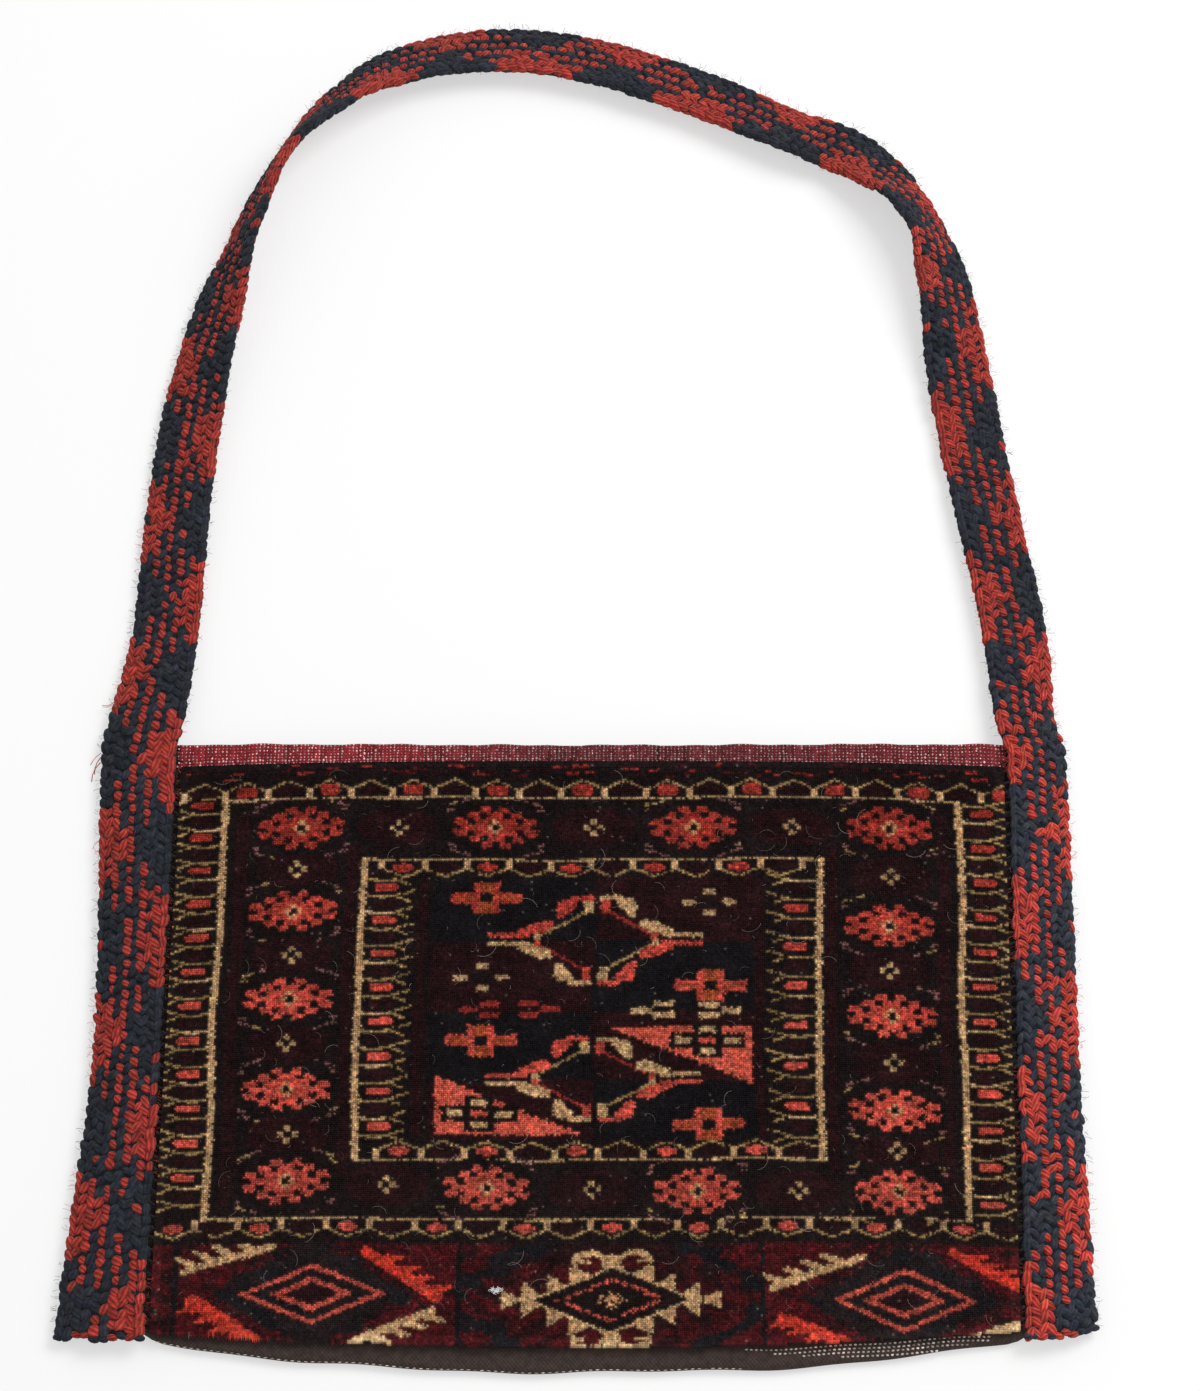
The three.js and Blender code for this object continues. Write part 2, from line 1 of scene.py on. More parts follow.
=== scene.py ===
# %% [markdown]
# This lesson dresses a small wool shoulder bag that lies on its back. The bag is one length of brown flat
# weave, folded at the bottom and sewn up at the sides. Its front is knotted pile, its mouth has a strip
# of red flat weave, and a thick braid runs up one side, over in a loop, and down the other. The packed
# solids come first, because every piece is placed against them.

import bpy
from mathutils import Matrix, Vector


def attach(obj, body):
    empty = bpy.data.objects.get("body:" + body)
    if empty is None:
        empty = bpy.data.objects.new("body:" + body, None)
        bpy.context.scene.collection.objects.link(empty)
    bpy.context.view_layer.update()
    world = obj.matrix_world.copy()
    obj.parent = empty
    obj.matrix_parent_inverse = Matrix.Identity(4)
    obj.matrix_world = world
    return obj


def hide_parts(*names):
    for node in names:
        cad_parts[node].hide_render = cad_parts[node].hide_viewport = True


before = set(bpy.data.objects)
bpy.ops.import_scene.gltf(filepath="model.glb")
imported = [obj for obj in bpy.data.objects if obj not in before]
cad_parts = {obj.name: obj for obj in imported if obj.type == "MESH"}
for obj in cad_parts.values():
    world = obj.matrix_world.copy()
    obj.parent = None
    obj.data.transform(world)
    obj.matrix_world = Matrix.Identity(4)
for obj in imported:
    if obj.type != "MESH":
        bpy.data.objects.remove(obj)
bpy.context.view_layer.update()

import math

import bmesh
import bpy
import numpy as np
from mathutils import Matrix, Vector

MM = 0.001

# %% [markdown]
# The camera looks down on the bag from its bottom edge, 68 degrees above the table. A long lens keeps the
# sides almost parallel. The frame is taller than wide, so the 36 mm sensor lies along its height.

# %% Camera
VIEW_TARGET = Vector((3, 154, 0)) * MM
VIEW_DISTANCE = 1545 * MM
VIEW_ELEVATION = math.radians(68)
VIEW_LENS = 97.1
VIEW_SENSOR = 36

camera_data = bpy.data.cameras.new("studio_camera")
camera_data.lens = VIEW_LENS
camera_data.sensor_width = VIEW_SENSOR
camera = bpy.data.objects.new("studio_camera", camera_data)
bpy.context.collection.objects.link(camera)
look = Vector((0, -math.cos(VIEW_ELEVATION), math.sin(VIEW_ELEVATION)))
camera.location = VIEW_TARGET + VIEW_DISTANCE * look
camera.rotation_euler = look.to_track_quat("Z", "Y").to_euler()
bpy.context.scene.camera = camera
bpy.context.scene.view_settings.view_transform = "Standard"
print("camera at", [round(c, 3) for c in camera.location])

# %% [markdown]
# The same few lengths shape the solids and the cloth here. The front swells a little over the pocket:
# nothing at the side seams and the fold, most in the middle. Every layer of the front is laid on that
# swell, so the helper below gives the height of the cloth's outer face under any point. The bag also lies
# a little askew, so every piece is built straight and moved sideways below the mouth when it is finished.
# A lattice or a cloth simulation could swell it too, but a formula can be asked for its height anywhere.

# %% The lie of the front
MOUTH_Y = 126.75
FOLD_Y = -126.75
PILE_HALF = 167.0
PILE_TOP_Y = 119.25
PILE_LOW_Y = -118.05
CLOTH = 2.4
POCKET_RISE = 9.0
FOLD_BOW = 12.0
FOLD_ROUND = 2.6
FOLD_ASIDE = 3.0
MOUTH_RISE = 0.8
MOUTH_BOW = 2.6
SWELL_TURN = 0.76
PILE_CLEAR = 6.1
CORNER_DROP = 5.7


def aside(y):
    """How far the bag lies askew: nothing at the mouth, most at the fold."""
    return FOLD_ASIDE * np.minimum(0, y - MOUTH_Y) / (MOUTH_Y - FOLD_Y)


def side_share(x):
    """How far out a point lies: 0 in the middle of the bag, 1 at the edge of the pile."""
    return np.minimum(1, np.abs(x) / PILE_HALF)


def pocket_gap(x, y):
    """Height of the pocket between the two layers of cloth."""
    along = np.clip((y - FOLD_Y) / (MOUTH_Y - FOLD_Y), 0, 1)
    return POCKET_RISE * (1 - side_share(x) ** 3) * np.sin(SWELL_TURN * math.pi * along)


def fold_edge(x):
    """Outermost line of the fold, which bows up towards the sides."""
    return FOLD_Y + FOLD_BOW * side_share(x) ** 2.5


def mouth_edge(x):
    """Upper edge of the front, which bows up towards the sides too."""
    return MOUTH_Y + MOUTH_RISE + MOUTH_BOW * side_share(x) ** 2


def pile_edge(x):
    """Lower edge of the pile, which comes close to the fold at the corners."""
    return fold_edge(x) + FOLD_ROUND + PILE_CLEAR - CORNER_DROP * side_share(x) ** 3


def cloth_top(x, y):
    """Height of the cloth's outer face on the front."""
    return 2 * CLOTH + pocket_gap(x, y)


print("swell in the middle:", round(float(cloth_top(0, 20)), 1), "mm")

# %% [markdown]
# Colours are written here as a paint program writes them. Blender's sockets and attributes want linear
# light, so a helper turns one into the other. A second helper eases a share at both ends, for whatever
# fades in along the bag.

# %% Colours and gentle shares
def linear(code):
    """A colour written as #rrggbb, as scene-linear red, green and blue."""
    parts = [int(code[i:i + 2], 16) / 255 for i in (1, 3, 5)]
    return [c / 12.92 if c <= 0.04045 else ((c + 0.055) / 1.055) ** 2.4 for c in parts]


def smooth(t):
    """A share that starts and ends gently."""
    t = min(1.0, max(0.0, t))
    return t * t * (3 - 2 * t)


print("madder red in linear light:", [round(c, 3) for c in linear("#b43d33")])

# %% [markdown]
# Every piece is finished in the same way. Its mesh was built straight, so it is moved askew with the bag,
# and nothing is let through the table. Then it becomes an object at the origin with its material, and it
# rides on the bag's one body. Its place is in the mesh and not in the object, so that a pattern on Object
# coordinates stays put.

# %% Finishing a piece
def finish_piece(name, bm, material, rounded=True):
    """An object from a bmesh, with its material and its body."""
    for vert in bm.verts:
        vert.co.x += float(aside(vert.co.y / MM)) * MM
        vert.co.z = max(0.0, vert.co.z)
    mesh = bpy.data.meshes.new(name)
    bm.to_mesh(mesh)
    bm.free()
    mesh.materials.append(material)
    mesh.polygons.foreach_set("use_smooth", [rounded] * len(mesh.polygons))
    piece = bpy.data.objects.new(name, mesh)
    bpy.context.collection.objects.link(piece)
    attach(piece, "root")
    mesh.calc_loop_triangles()
    print(name, "triangles:", len(mesh.loop_triangles))
    return piece


# %% [markdown]
# Some pieces repeat one small shape many times: the floats of the braid, the pale warps of the flat
# weave, the stitches, the loose fibres. The shape is made once with an operator, then stamped: a copy is
# appended to one bmesh for each place. Every stamp keeps its number in an attribute, so that it can have
# its own tone. Instances could repeat it too, but a piece has to be one plain mesh.

# %% Stamping
def stamped(template, places):
    """One bmesh that holds a copy of the template at each matrix of places."""
    mesh = bpy.data.meshes.new("stamp")
    template.to_mesh(mesh)
    rest = np.empty(len(mesh.vertices) * 3)
    mesh.vertices.foreach_get("co", rest)
    rest = np.c_[rest.reshape(-1, 3), np.ones(len(mesh.vertices))]
    whole = bmesh.new()
    number = whole.faces.layers.int.new("number")
    for place in places:
        moved = rest @ np.array(place).T
        mesh.vertices.foreach_set("co", moved[:, :3].ravel())
        whole.from_mesh(mesh)
    each = len(mesh.polygons)
    whole.faces.ensure_lookup_table()
    for i, face in enumerate(whole.faces):
        face[number] = i // each
    bpy.data.meshes.remove(mesh)
    return whole


def tint(piece, colours):
    """Give each face the colour of its number."""
    mesh = piece.data
    numbers = np.empty(len(mesh.polygons), int)
    mesh.attributes["number"].data.foreach_get("value", numbers)
    layer = mesh.attributes.new("yarn", "FLOAT_COLOR", "FACE")
    table = np.c_[np.asarray(colours), np.ones(len(colours))]
    layer.data.foreach_set("color", table[numbers].ravel())


print("a stamp carries its number, and a yarn colour once it is tinted")

# %% [markdown]
# All the yarn here is hand-spun wool, so all finishes share one node group. It takes the yarn's own
# colour and mottles it the way uneven dye does, and it puts out a height for the fine fibres and a
# roughness. The shader itself stays in each material, with its sheen as a plain number. A group is built
# once, where nodes copied into each material would soon differ.

# %% The wool group
wool = bpy.data.node_groups.new("hand_spun_wool", "ShaderNodeTree")
for socket_name, kind, start in (
    ("Yarn", "NodeSocketColor", (0.5, 0.5, 0.5, 1)),
    ("Fibre Scale", "NodeSocketFloat", 2600),
    ("Mottle", "NodeSocketFloat", 0.2),
):
    socket = wool.interface.new_socket(socket_name, in_out="INPUT", socket_type=kind)
    socket.default_value = start
wool.interface.new_socket("Colour", in_out="OUTPUT", socket_type="NodeSocketColor")
wool.interface.new_socket("Height", in_out="OUTPUT", socket_type="NodeSocketFloat")
wool.interface.new_socket("Roughness", in_out="OUTPUT", socket_type="NodeSocketFloat")


def node(tree, kind, **values):
    """A new node with the given properties."""
    made = tree.nodes.new(kind)
    for key, value in values.items():
        setattr(made, key, value)
    return made


print("wool sockets:", len(wool.interface.items_tree))

# %% [markdown]
# Inside, two noises read the piece's own coordinates. The fine one is the fibre: it drives the height and
# the roughness. The coarser one is the dye: it scales the yarn's colour up and down by the mottle.

# %% Inside the wool group
DYE_SCALE = 420
wool_in = node(wool, "NodeGroupInput")
wool_out = node(wool, "NodeGroupOutput")
wool_place = node(wool, "ShaderNodeTexCoord")
fibre_noise = node(wool, "ShaderNodeTexNoise")
fibre_noise.inputs["Detail"].default_value = 3
dye_noise = node(wool, "ShaderNodeTexNoise")
dye_noise.inputs["Scale"].default_value = DYE_SCALE
dye_noise.inputs["Detail"].default_value = 4
dye_spread = node(wool, "ShaderNodeMapRange")
dye_spread.inputs["From Min"].default_value = 0.3
dye_spread.inputs["From Max"].default_value = 0.7
mottle_low = node(wool, "ShaderNodeMath", operation="SUBTRACT")
mottle_low.inputs[0].default_value = 1
mottle_high = node(wool, "ShaderNodeMath", operation="ADD")
mottle_high.inputs[0].default_value = 1
mottled = node(wool, "ShaderNodeVectorMath", operation="SCALE")
rough = node(wool, "ShaderNodeMapRange")
rough.inputs["To Min"].default_value = 0.75
rough.inputs["To Max"].default_value = 1.0
for a, b in (
    (wool_place.outputs["Object"], fibre_noise.inputs["Vector"]),
    (wool_place.outputs["Object"], dye_noise.inputs["Vector"]),
    (wool_in.outputs["Fibre Scale"], fibre_noise.inputs["Scale"]),
    (wool_in.outputs["Mottle"], mottle_low.inputs[1]),
    (wool_in.outputs["Mottle"], mottle_high.inputs[1]),
    (dye_noise.outputs["Fac"], dye_spread.inputs["Value"]),
    (mottle_low.outputs[0], dye_spread.inputs["To Min"]),
    (mottle_high.outputs[0], dye_spread.inputs["To Max"]),
    (wool_in.outputs["Yarn"], mottled.inputs[0]),
    (dye_spread.outputs["Result"], mottled.inputs["Scale"]),
    (fibre_noise.outputs["Fac"], rough.inputs["Value"]),
    (mottled.outputs[0], wool_out.inputs["Colour"]),
    (fibre_noise.outputs["Fac"], wool_out.inputs["Height"]),
    (rough.outputs["Result"], wool_out.inputs["Roughness"]),
):
    wool.links.new(a, b)
print("wool group:", len(wool.nodes), "nodes")

# %% [markdown]
# Two more effects are shared, and each puts out one relief from 0 to 1, which serves as height and as
# shade. The first is the twist of a plied yarn. Its slanting grooves are a sine wave that runs round and
# along each float's own map. A bump is enough for them, because they are only a fraction of a millimetre
# deep.

# %% The ply twist group
def relief_group(name, inputs):
    """An empty group with number inputs and one relief output."""
    group = bpy.data.node_groups.new(name, "ShaderNodeTree")
    for socket_name, start in inputs:
        socket = group.interface.new_socket(socket_name, in_out="INPUT", socket_type="NodeSocketFloat")
        socket.default_value = start
    group.interface.new_socket("Relief", in_out="OUTPUT", socket_type="NodeSocketFloat")
    return group, node(group, "NodeGroupInput"), node(group, "NodeGroupOutput")


def math_node(tree, operation, first, second=None):
    """The result of a sum on numbers or on other nodes' outputs."""
    made = node(tree, "ShaderNodeMath", operation=operation)
    for k, value in enumerate((first, second)):
        if isinstance(value, (int, float)):
            made.inputs[k].default_value = value
        elif value is not None:
            tree.links.new(value, made.inputs[k])
    return made.outputs[0]


def as_share(tree, wave):
    """A wave from -1 to 1, as a share from 0 to 1."""
    return math_node(tree, "ADD", math_node(tree, "MULTIPLY", wave, 0.5), 0.5)


ply, ply_in, ply_out = relief_group("ply_twist", (("Plies", 6.0), ("Turns", 1.8)))
ply_map = node(ply, "ShaderNodeUVMap", uv_map="float_map")
ply_split = node(ply, "ShaderNodeSeparateXYZ")
ply.links.new(ply_map.outputs[0], ply_split.inputs[0])
ply_round = math_node(ply, "MULTIPLY", ply_split.outputs[0], ply_in.outputs["Plies"])
ply_along = math_node(ply, "MULTIPLY", ply_split.outputs[1], ply_in.outputs["Turns"])
ply_angle = math_node(ply, "MULTIPLY", math_node(ply, "ADD", ply_round, ply_along), math.tau)
ply_wave = math_node(ply, "SINE", ply_angle)
ply.links.new(as_share(ply, ply_wave), ply_out.inputs[0])
print("ply twist:", len(ply.nodes), "nodes")

# %% [markdown]
# The second is the flat weave, whose small pillows show where warp and weft cross. Two sine waves
# multiplied give a chequer of hills and hollows. They read Object coordinates, since the cloth lies flat
# enough for that. Threads modelled one by one would take far too many faces.

# %% The flat weave group
weave, weave_in, weave_out = relief_group("flat_weave", (("Warps", 1250.0), ("Wefts", 1100.0)))
weave_place = node(weave, "ShaderNodeTexCoord")
weave_split = node(weave, "ShaderNodeSeparateXYZ")
weave.links.new(weave_place.outputs["Object"], weave_split.inputs[0])
waves = []
for axis, socket_name in ((0, "Warps"), (1, "Wefts")):
    turns = math_node(weave, "MULTIPLY", weave_split.outputs[axis], weave_in.outputs[socket_name])
    waves.append(math_node(weave, "SINE", math_node(weave, "MULTIPLY", turns, math.pi)))
crossed = math_node(weave, "MULTIPLY", *waves)
weave.links.new(as_share(weave, crossed), weave_out.inputs[0])
print("flat weave:", len(weave.nodes), "nodes")

# %% [markdown]
# A wool finish is the Principled shader with the wool group in front of it. The yarn's colour comes from
# the piece's own attribute, so one finish serves many yarns. Where a relief is given, it paints shade into
# the grooves, darkening the colour there, and adds to the height of the fibres. Sheen is the soft glow of
# wool at grazing angles.

# %% A wool finish
SHEEN_ROUGHNESS = 0.45
FIBRE_DEPTH = 0.0004


def wool_material(
    name, sheen=0.1, mottle=0.2, fibre_scale=2600, bump=0.35,
    colour=None, specular=0.15, relief=None, groove_shade=0.3,
):
    """Wool whose yarn colour is the piece's own attribute, or one colour where that is given."""
    material = bpy.data.materials.new(name)
    material.use_nodes = True
    tree = material.node_tree
    shader = tree.nodes["Principled BSDF"]
    shader.inputs["Sheen Weight"].default_value = sheen
    shader.inputs["Sheen Roughness"].default_value = SHEEN_ROUGHNESS
    shader.inputs["Specular IOR Level"].default_value = specular
    group = node(tree, "ShaderNodeGroup", node_tree=wool)
    group.inputs["Mottle"].default_value = mottle
    group.inputs["Fibre Scale"].default_value = fibre_scale
    if colour:
        group.inputs["Yarn"].default_value = (*linear(colour), 1)
    else:
        yarn = node(tree, "ShaderNodeAttribute", attribute_name="yarn")
        tree.links.new(yarn.outputs["Color"], group.inputs["Yarn"])
    bumps = node(tree, "ShaderNodeBump")
    bumps.inputs["Strength"].default_value = bump
    bumps.inputs["Distance"].default_value = FIBRE_DEPTH
    colour_out, height_out = group.outputs["Colour"], group.outputs["Height"]
    if relief:
        form = node(tree, "ShaderNodeGroup", node_tree=relief)
        # Painted shade: the colour is darkened in the hollows of the relief.
        shade = math_node(tree, "ADD", math_node(tree, "MULTIPLY", form.outputs[0], groove_shade), 1 - groove_shade)
        shaded = node(tree, "ShaderNodeVectorMath", operation="SCALE")
        tree.links.new(colour_out, shaded.inputs[0])
        tree.links.new(shade, shaded.inputs["Scale"])
        colour_out = shaded.outputs[0]
        height_out = math_node(tree, "ADD", math_node(tree, "MULTIPLY", height_out, 0.5), form.outputs[0])
    tree.links.new(colour_out, shader.inputs["Base Color"])
    tree.links.new(group.outputs["Roughness"], shader.inputs["Roughness"])
    tree.links.new(height_out, bumps.inputs["Height"])
    tree.links.new(bumps.outputs["Normal"], shader.inputs["Normal"])
    return material


PILE_WOOL = wool_material("cut_pile_wool", sheen=0.02, mottle=0.3, specular=0.08)
print("finish of the pile:", PILE_WOOL.name, len(PILE_WOOL.node_tree.nodes), "nodes")

# %% [markdown]
# The front is drawn knot by knot, as a weaver does. There is no picture: a table of knots starts as one
# dark yarn, and each figure paints its own knots with a rule on the distance from its middle. The table
# is a little wavy, because no loom holds its rows quite straight, and about one knot in six has worn off
# the thin lines. All chance comes from one seeded source, so every run gives the same bag.

# %% The table of knots
RNG = np.random.default_rng(11)
KNOTS_ACROSS = 399
KNOTS_ALONG = 296
YARNS = {
    "black": "#190f10",
    "navy": "#110f13",
    "slate": "#15151a",
    "plum": "#260c10",
    "wine": "#4b1016",
    "crimson": "#6e1520",
    "madder": "#8c2c27",
    "red": "#c35143",
    "scarlet": "#d04836",
    "coral": "#d96c57",
    "brick": "#ad5634",
    "cream": "#cdab80",
    "peach": "#c8976c",
    "tan": "#a98a64",
    "straw": "#94794f",
    "rose": "#7a5250",
    "soot": "#21181a",
}
YARN_NAMES = list(YARNS)
STRAY_ACROSS, STRAY_ALONG = 0.25, 0.2
WORN_OFF = 0.16
column = (np.arange(KNOTS_ACROSS) + 0.5) / KNOTS_ACROSS
row = (np.arange(KNOTS_ALONG) + 0.5) / KNOTS_ALONG
KX, KY = np.meshgrid((2 * column - 1) * PILE_HALF, PILE_LOW_Y + row * (PILE_TOP_Y - PILE_LOW_Y))
knots = np.zeros((KNOTS_ALONG, KNOTS_ACROSS), int)
stray_x, stray_y = RNG.standard_normal((2, *knots.shape))
stray_x, stray_y = stray_x * STRAY_ACROSS, stray_y * STRAY_ALONG
X = KX + 0.5 * np.sin(KY / 19 + 1) + 0.3 * np.sin(KX / 27 + KY / 11)
Y = KY + 0.45 * np.sin(KX / 31 + 2) + 0.25 * np.sin(KX / 9 + KY / 23)
KEPT = RNG.random(knots.shape) > WORN_OFF
print("knots:", KNOTS_ACROSS, "x", KNOTS_ALONG, "of which kept in thin lines:", int(KEPT.sum()))

# %% [markdown]
# Three rules choose knots: a box, a straight stroke and a lozenge. A fourth gives the chosen knots their
# yarn. A figure that needs more counts the distance from its own middle. Each rule answers for all knots
# at once, so a figure is a few short lines. The numbers in a figure are millimetres from its own middle.

# %% Rules for the figures
def knot(mask, yarn):
    """Tie the chosen knots in a yarn."""
    knots[mask] = YARN_NAMES.index(yarn)


def box(x0, x1, y0, y1):
    """Knots inside an upright box."""
    return (X >= min(x0, x1)) & (X <= max(x0, x1)) & (Y >= min(y0, y1)) & (Y <= max(y0, y1))


def stroke(x0, y0, x1, y1, half=0.5):
    """Knots that lie within half a width of a straight line."""
    length = math.hypot(x1 - x0, y1 - y0)
    tx, ty = (x1 - x0) / length, (y1 - y0) / length
    along = np.clip((X - x0) * tx + (Y - y0) * ty, 0, length)
    return np.hypot(X - x0 - along * tx, Y - y0 - along * ty) <= half


def lozenge(cx, cy, half_x, half_y):
    """Knots inside a diamond that stands on its point."""
    return np.abs(X - cx) / half_x + np.abs(Y - cy) / half_y <= 1


print("knots in a lozenge of 10 by 5 mm:", int(lozenge(0, 0, 5, 2.5).sum()))

# %% [markdown]
# Ladders and chains edge the frames. A ladder stands along an upright bar, with red and plum cells
# between its rungs, and each rung ends in a fork like a feather. A chain of low tents on square feet runs
# along a line, with red and plum cells under the tents.

# %% Ladders and chains
RUNG_PITCH = 7.15
RUNG_REACH = 11.5
FORK_START = 11.2
CHAIN_PITCH = 17.0
FOOT_HEIGHT = 4.2


def ladder(bar_x, way, y0, y1, first_red, pitch=RUNG_PITCH):
    """Rungs on one side of an upright bar, way is the direction they point in."""
    count = round((y1 - y0) / pitch)
    ys = np.linspace(y0, y1, count + 1)
    out = (X - bar_x) * way
    sag = 0.6 * np.sin(math.pi * np.clip(out / RUNG_REACH, 0, 1))
    root = bar_x + way * FORK_START
    for k, y in enumerate(ys):
        rung = (out > 0) & (out < RUNG_REACH) & (np.abs(Y - y + sag) < 0.5)
        knot(rung, "cream" if k % 3 == 1 else "straw")
        knot(KEPT & stroke(root, y, bar_x + way * 19.2, y + 2.5), "straw")
        knot(KEPT & stroke(root, y, bar_x + way * 17, y - 2.2), "straw")
    for k in range(count):
        off = np.abs(Y - (ys[k] + ys[k + 1]) / 2)
        red = k % 2 == first_red
        cell = (off < (1.45 if red else 2.3)) & (out > 3.2) & (out + 1.1 * off < 13)
        knot(cell, "red" if red else "plum")


def chain(y, way, x0, x1, first_red, tent=7.2, cell_height=2.1):
    """Square feet and low tents along a line, way is the side that the tents stand on."""
    xs = np.linspace(x0, x1, round((x1 - x0) / CHAIN_PITCH) + 1)
    height = (Y - y) * way
    for k, (left, right) in enumerate(zip(xs, xs[1:])):
        middle = (left + right) / 2
        red = k % 2 == first_red
        if red:
            cell = lozenge(middle, y + way * 3.4, 7, cell_height) & (np.abs(X - middle) < 4)
        else:
            cell = lozenge(middle, y + way * 3.7, 8.5, 3.9) & (np.abs(X - middle) < 6)
        knot(cell & (height > 1.2) & (height < 5.6), "red" if red else "plum")
        for foot in (left + 1, right - 1):
            knot(KEPT & stroke(foot, y + way * FOOT_HEIGHT, middle, y + way * tent), "straw")
    for x in xs:
        knot(box(x - 1.25, x + 1.25, y, y + way * FOOT_HEIGHT), "cream")


print("rungs are", RUNG_PITCH, "mm apart, tents", CHAIN_PITCH, "mm wide")

# %% [markdown]
# The grounds go first and the frames next. Each frame is two upright cream bars joined by thin lines,
# with a ladder along each bar and a chain along each line. Above the upper chain the last rows hold stray
# dashes. The frames lie askew with the bag. The figures that follow are placed on the straight, so the
# last lines move their ground, and they also let each knot sit a little off its place, which makes the
# outlines ragged.

# %% The frames
OUTER_X, OUTER_TOP, OUTER_LOW = 148.0, 103.2, -69.3
INNER_X, INNER_TOP, INNER_LOW = 91.0, 76.4, -46.2
BAR_HALF = 1.3
LINE_HALF = 0.48
DASH_PITCH = 3.3
knot(box(-OUTER_X, OUTER_X, OUTER_LOW, OUTER_TOP), "black")
for side in (-1, 1):
    knot(box(side * 138.3, side * 143, OUTER_LOW + 6, OUTER_TOP - 6), "plum")
    knot(box(side * 93.4, side * 98, INNER_LOW - 6, INNER_TOP + 6), "plum")
    knot(box(side * 65, side * 69, INNER_LOW + 9, INNER_TOP - 9), "plum")
ladder(-OUTER_X - 1.5, -1, OUTER_LOW + 6, OUTER_TOP + 2, True)
ladder(OUTER_X + 1.5, 1, OUTER_LOW + 3, OUTER_TOP - 1, False, 7.4)
ladder(-INNER_X + 1.5, 1, INNER_LOW + 9.6, INNER_TOP - 8.4, False)
ladder(INNER_X - 1.5, -1, INNER_LOW + 9, INNER_TOP - 9, True, 7.75)
chain(OUTER_TOP, 1, -165.1, 174.9, 1, 7.8, 3.7)
chain(OUTER_LOW, -1, -168.7, 171.3, 0)
chain(INNER_TOP, -1, -84, 84, 0)
chain(INNER_LOW, 1, -82.5, 91, 0)
for half, low_y, top_y in ((OUTER_X, OUTER_LOW, OUTER_TOP), (INNER_X, INNER_LOW, INNER_TOP)):
    for side in (-1, 1):
        bar = np.abs(X + stray_x - side * half) < BAR_HALF
        knot(bar & (Y > low_y - 0.6) & (Y < top_y + 0.6), "cream")
    for y in (low_y, top_y):
        knot(KEPT & box(-half, half, y - LINE_HALF, y + LINE_HALF), "tan")
for x in np.arange(-163, 163, DASH_PITCH):
    dash = RNG.uniform(0.8, 3.4)
    level = RNG.uniform(112.4, 117.6)
    mark = KEPT & box(x - dash, x + dash, level - 0.5, level + 0.5)
    knot(mark, RNG.choice(("plum", "wine", "madder")))
X = X + aside(KY) + stray_x
Y = Y + stray_y
print("frame knots:", int((knots > 0).sum()))

# %% [markdown]
# Rosettes fill the border between the frames. A rosette is a red flower with notched sides, a pale heart
# and a dark eye, and a few pale flecks lie round it. Small four-petalled flowers stand between the
# rosettes on a plum ground. Each is written as rows of knots out from its middle. Both halves mirror each
# other, so only the distance counts.

# %% Rosettes and small flowers
FLECKS = ((10.5, 12.3, 13, 11.5), (15, 10.8, 18.6, 9.6), (17, 8, 19, 7.4))


def rosette(cx, cy, wide, tall):
    """A red flower, wide and tall are its shares of the full size."""
    a, b = np.abs(X - cx) / wide, np.abs(Y - cy) / tall
    knot((a / 31 + b / 18 < 1) & (a < 22.5) & (b < 12.5), "black")
    for sx in (-1, 1):
        for sy in (-1, 1):
            for x0, y0, x1, y1 in FLECKS:
                fleck = stroke(cx + sx * x0, cy + sy * y0, cx + sx * x1, cy + sy * y1)
                knot(KEPT & fleck, RNG.choice(("straw", "rose", "rose")))
    red = (b < 1.2) & (a < 15.8)
    red |= (b >= 1.2) & (b < 4.1) & ((a < 9.6) | ((a > 13.2) & (a < 20.4 - 0.5 * b)))
    red |= (b >= 4.1) & (b < 6.9) & ((a < 3.8) | ((a > 7.4) & (a < 14.6 - 0.4 * b)))
    red |= (b >= 6.9) & (b < 9.6) & (a > 1.9) & (a < 9.6 - 0.35 * b)
    knot(red, "red")
    knot(((a < 3.6) & (b < 1.4)) | ((a < 1.5) & (b < 3.4)), "peach")
    knot((a < 1.6) & (b < 1.6), "black")


def small_flower(cx, cy):
    """Four pale petals round a dark eye."""
    a, b = np.abs(X - cx), np.abs(Y - cy)
    knot((a < 16) & (b < 8) & (a / 2.4 + b < 10.5), "plum")
    knot((a < 3.7) & (b < 1.05), "tan")
    knot((a < 1.15) & (b < 3.5), "tan")
    knot((a < 1.6) & (b < 1.4), "black")


print("pale flecks round a rosette:", 4 * len(FLECKS))

# %% [markdown]
# The place of each rosette is its own, since a weaver never spaces them evenly. The rows also differ a
# little in size. A small flower stands halfway between each two neighbours.

# %% The border
TOP_ROW = [(-117.5, 90.3), (-39, 90.3), (40, 90.3), (119, 90.3)]
LOW_ROW = [(-119.5, -54.7), (-41.5, -57.2), (40.5, -58.6), (118.4, -58.8)]
LEFT_COLUMN = [(-119.5, 55.1), (-119.5, 18.6), (-119.5, -18.4)]
RIGHT_COLUMN = [(118.0, 49.1), (118.4, 11.9), (118.5, -26.5)]
LEFT_SIDE = [TOP_ROW[0], *LEFT_COLUMN, LOW_ROW[0]]
RIGHT_SIDE = [TOP_ROW[3], *RIGHT_COLUMN, LOW_ROW[3]]
for side_run in (TOP_ROW, LOW_ROW, LEFT_SIDE, RIGHT_SIDE):
    for (x0, y0), (x1, y1) in zip(side_run, side_run[1:]):
        small_flower((x0 + x1) / 2, (y0 + y1) / 2)
for spots, wide, tall in (
    (TOP_ROW, 0.88, 0.93),
    (LOW_ROW, 0.86, 0.9),
    (LEFT_COLUMN, 0.91, 0.88),
    (RIGHT_COLUMN, 0.91, 0.89),
):
    for x, y in spots:
        rosette(x, y, wide, tall)
print("red knots:", int((knots == YARN_NAMES.index("red")).sum()))

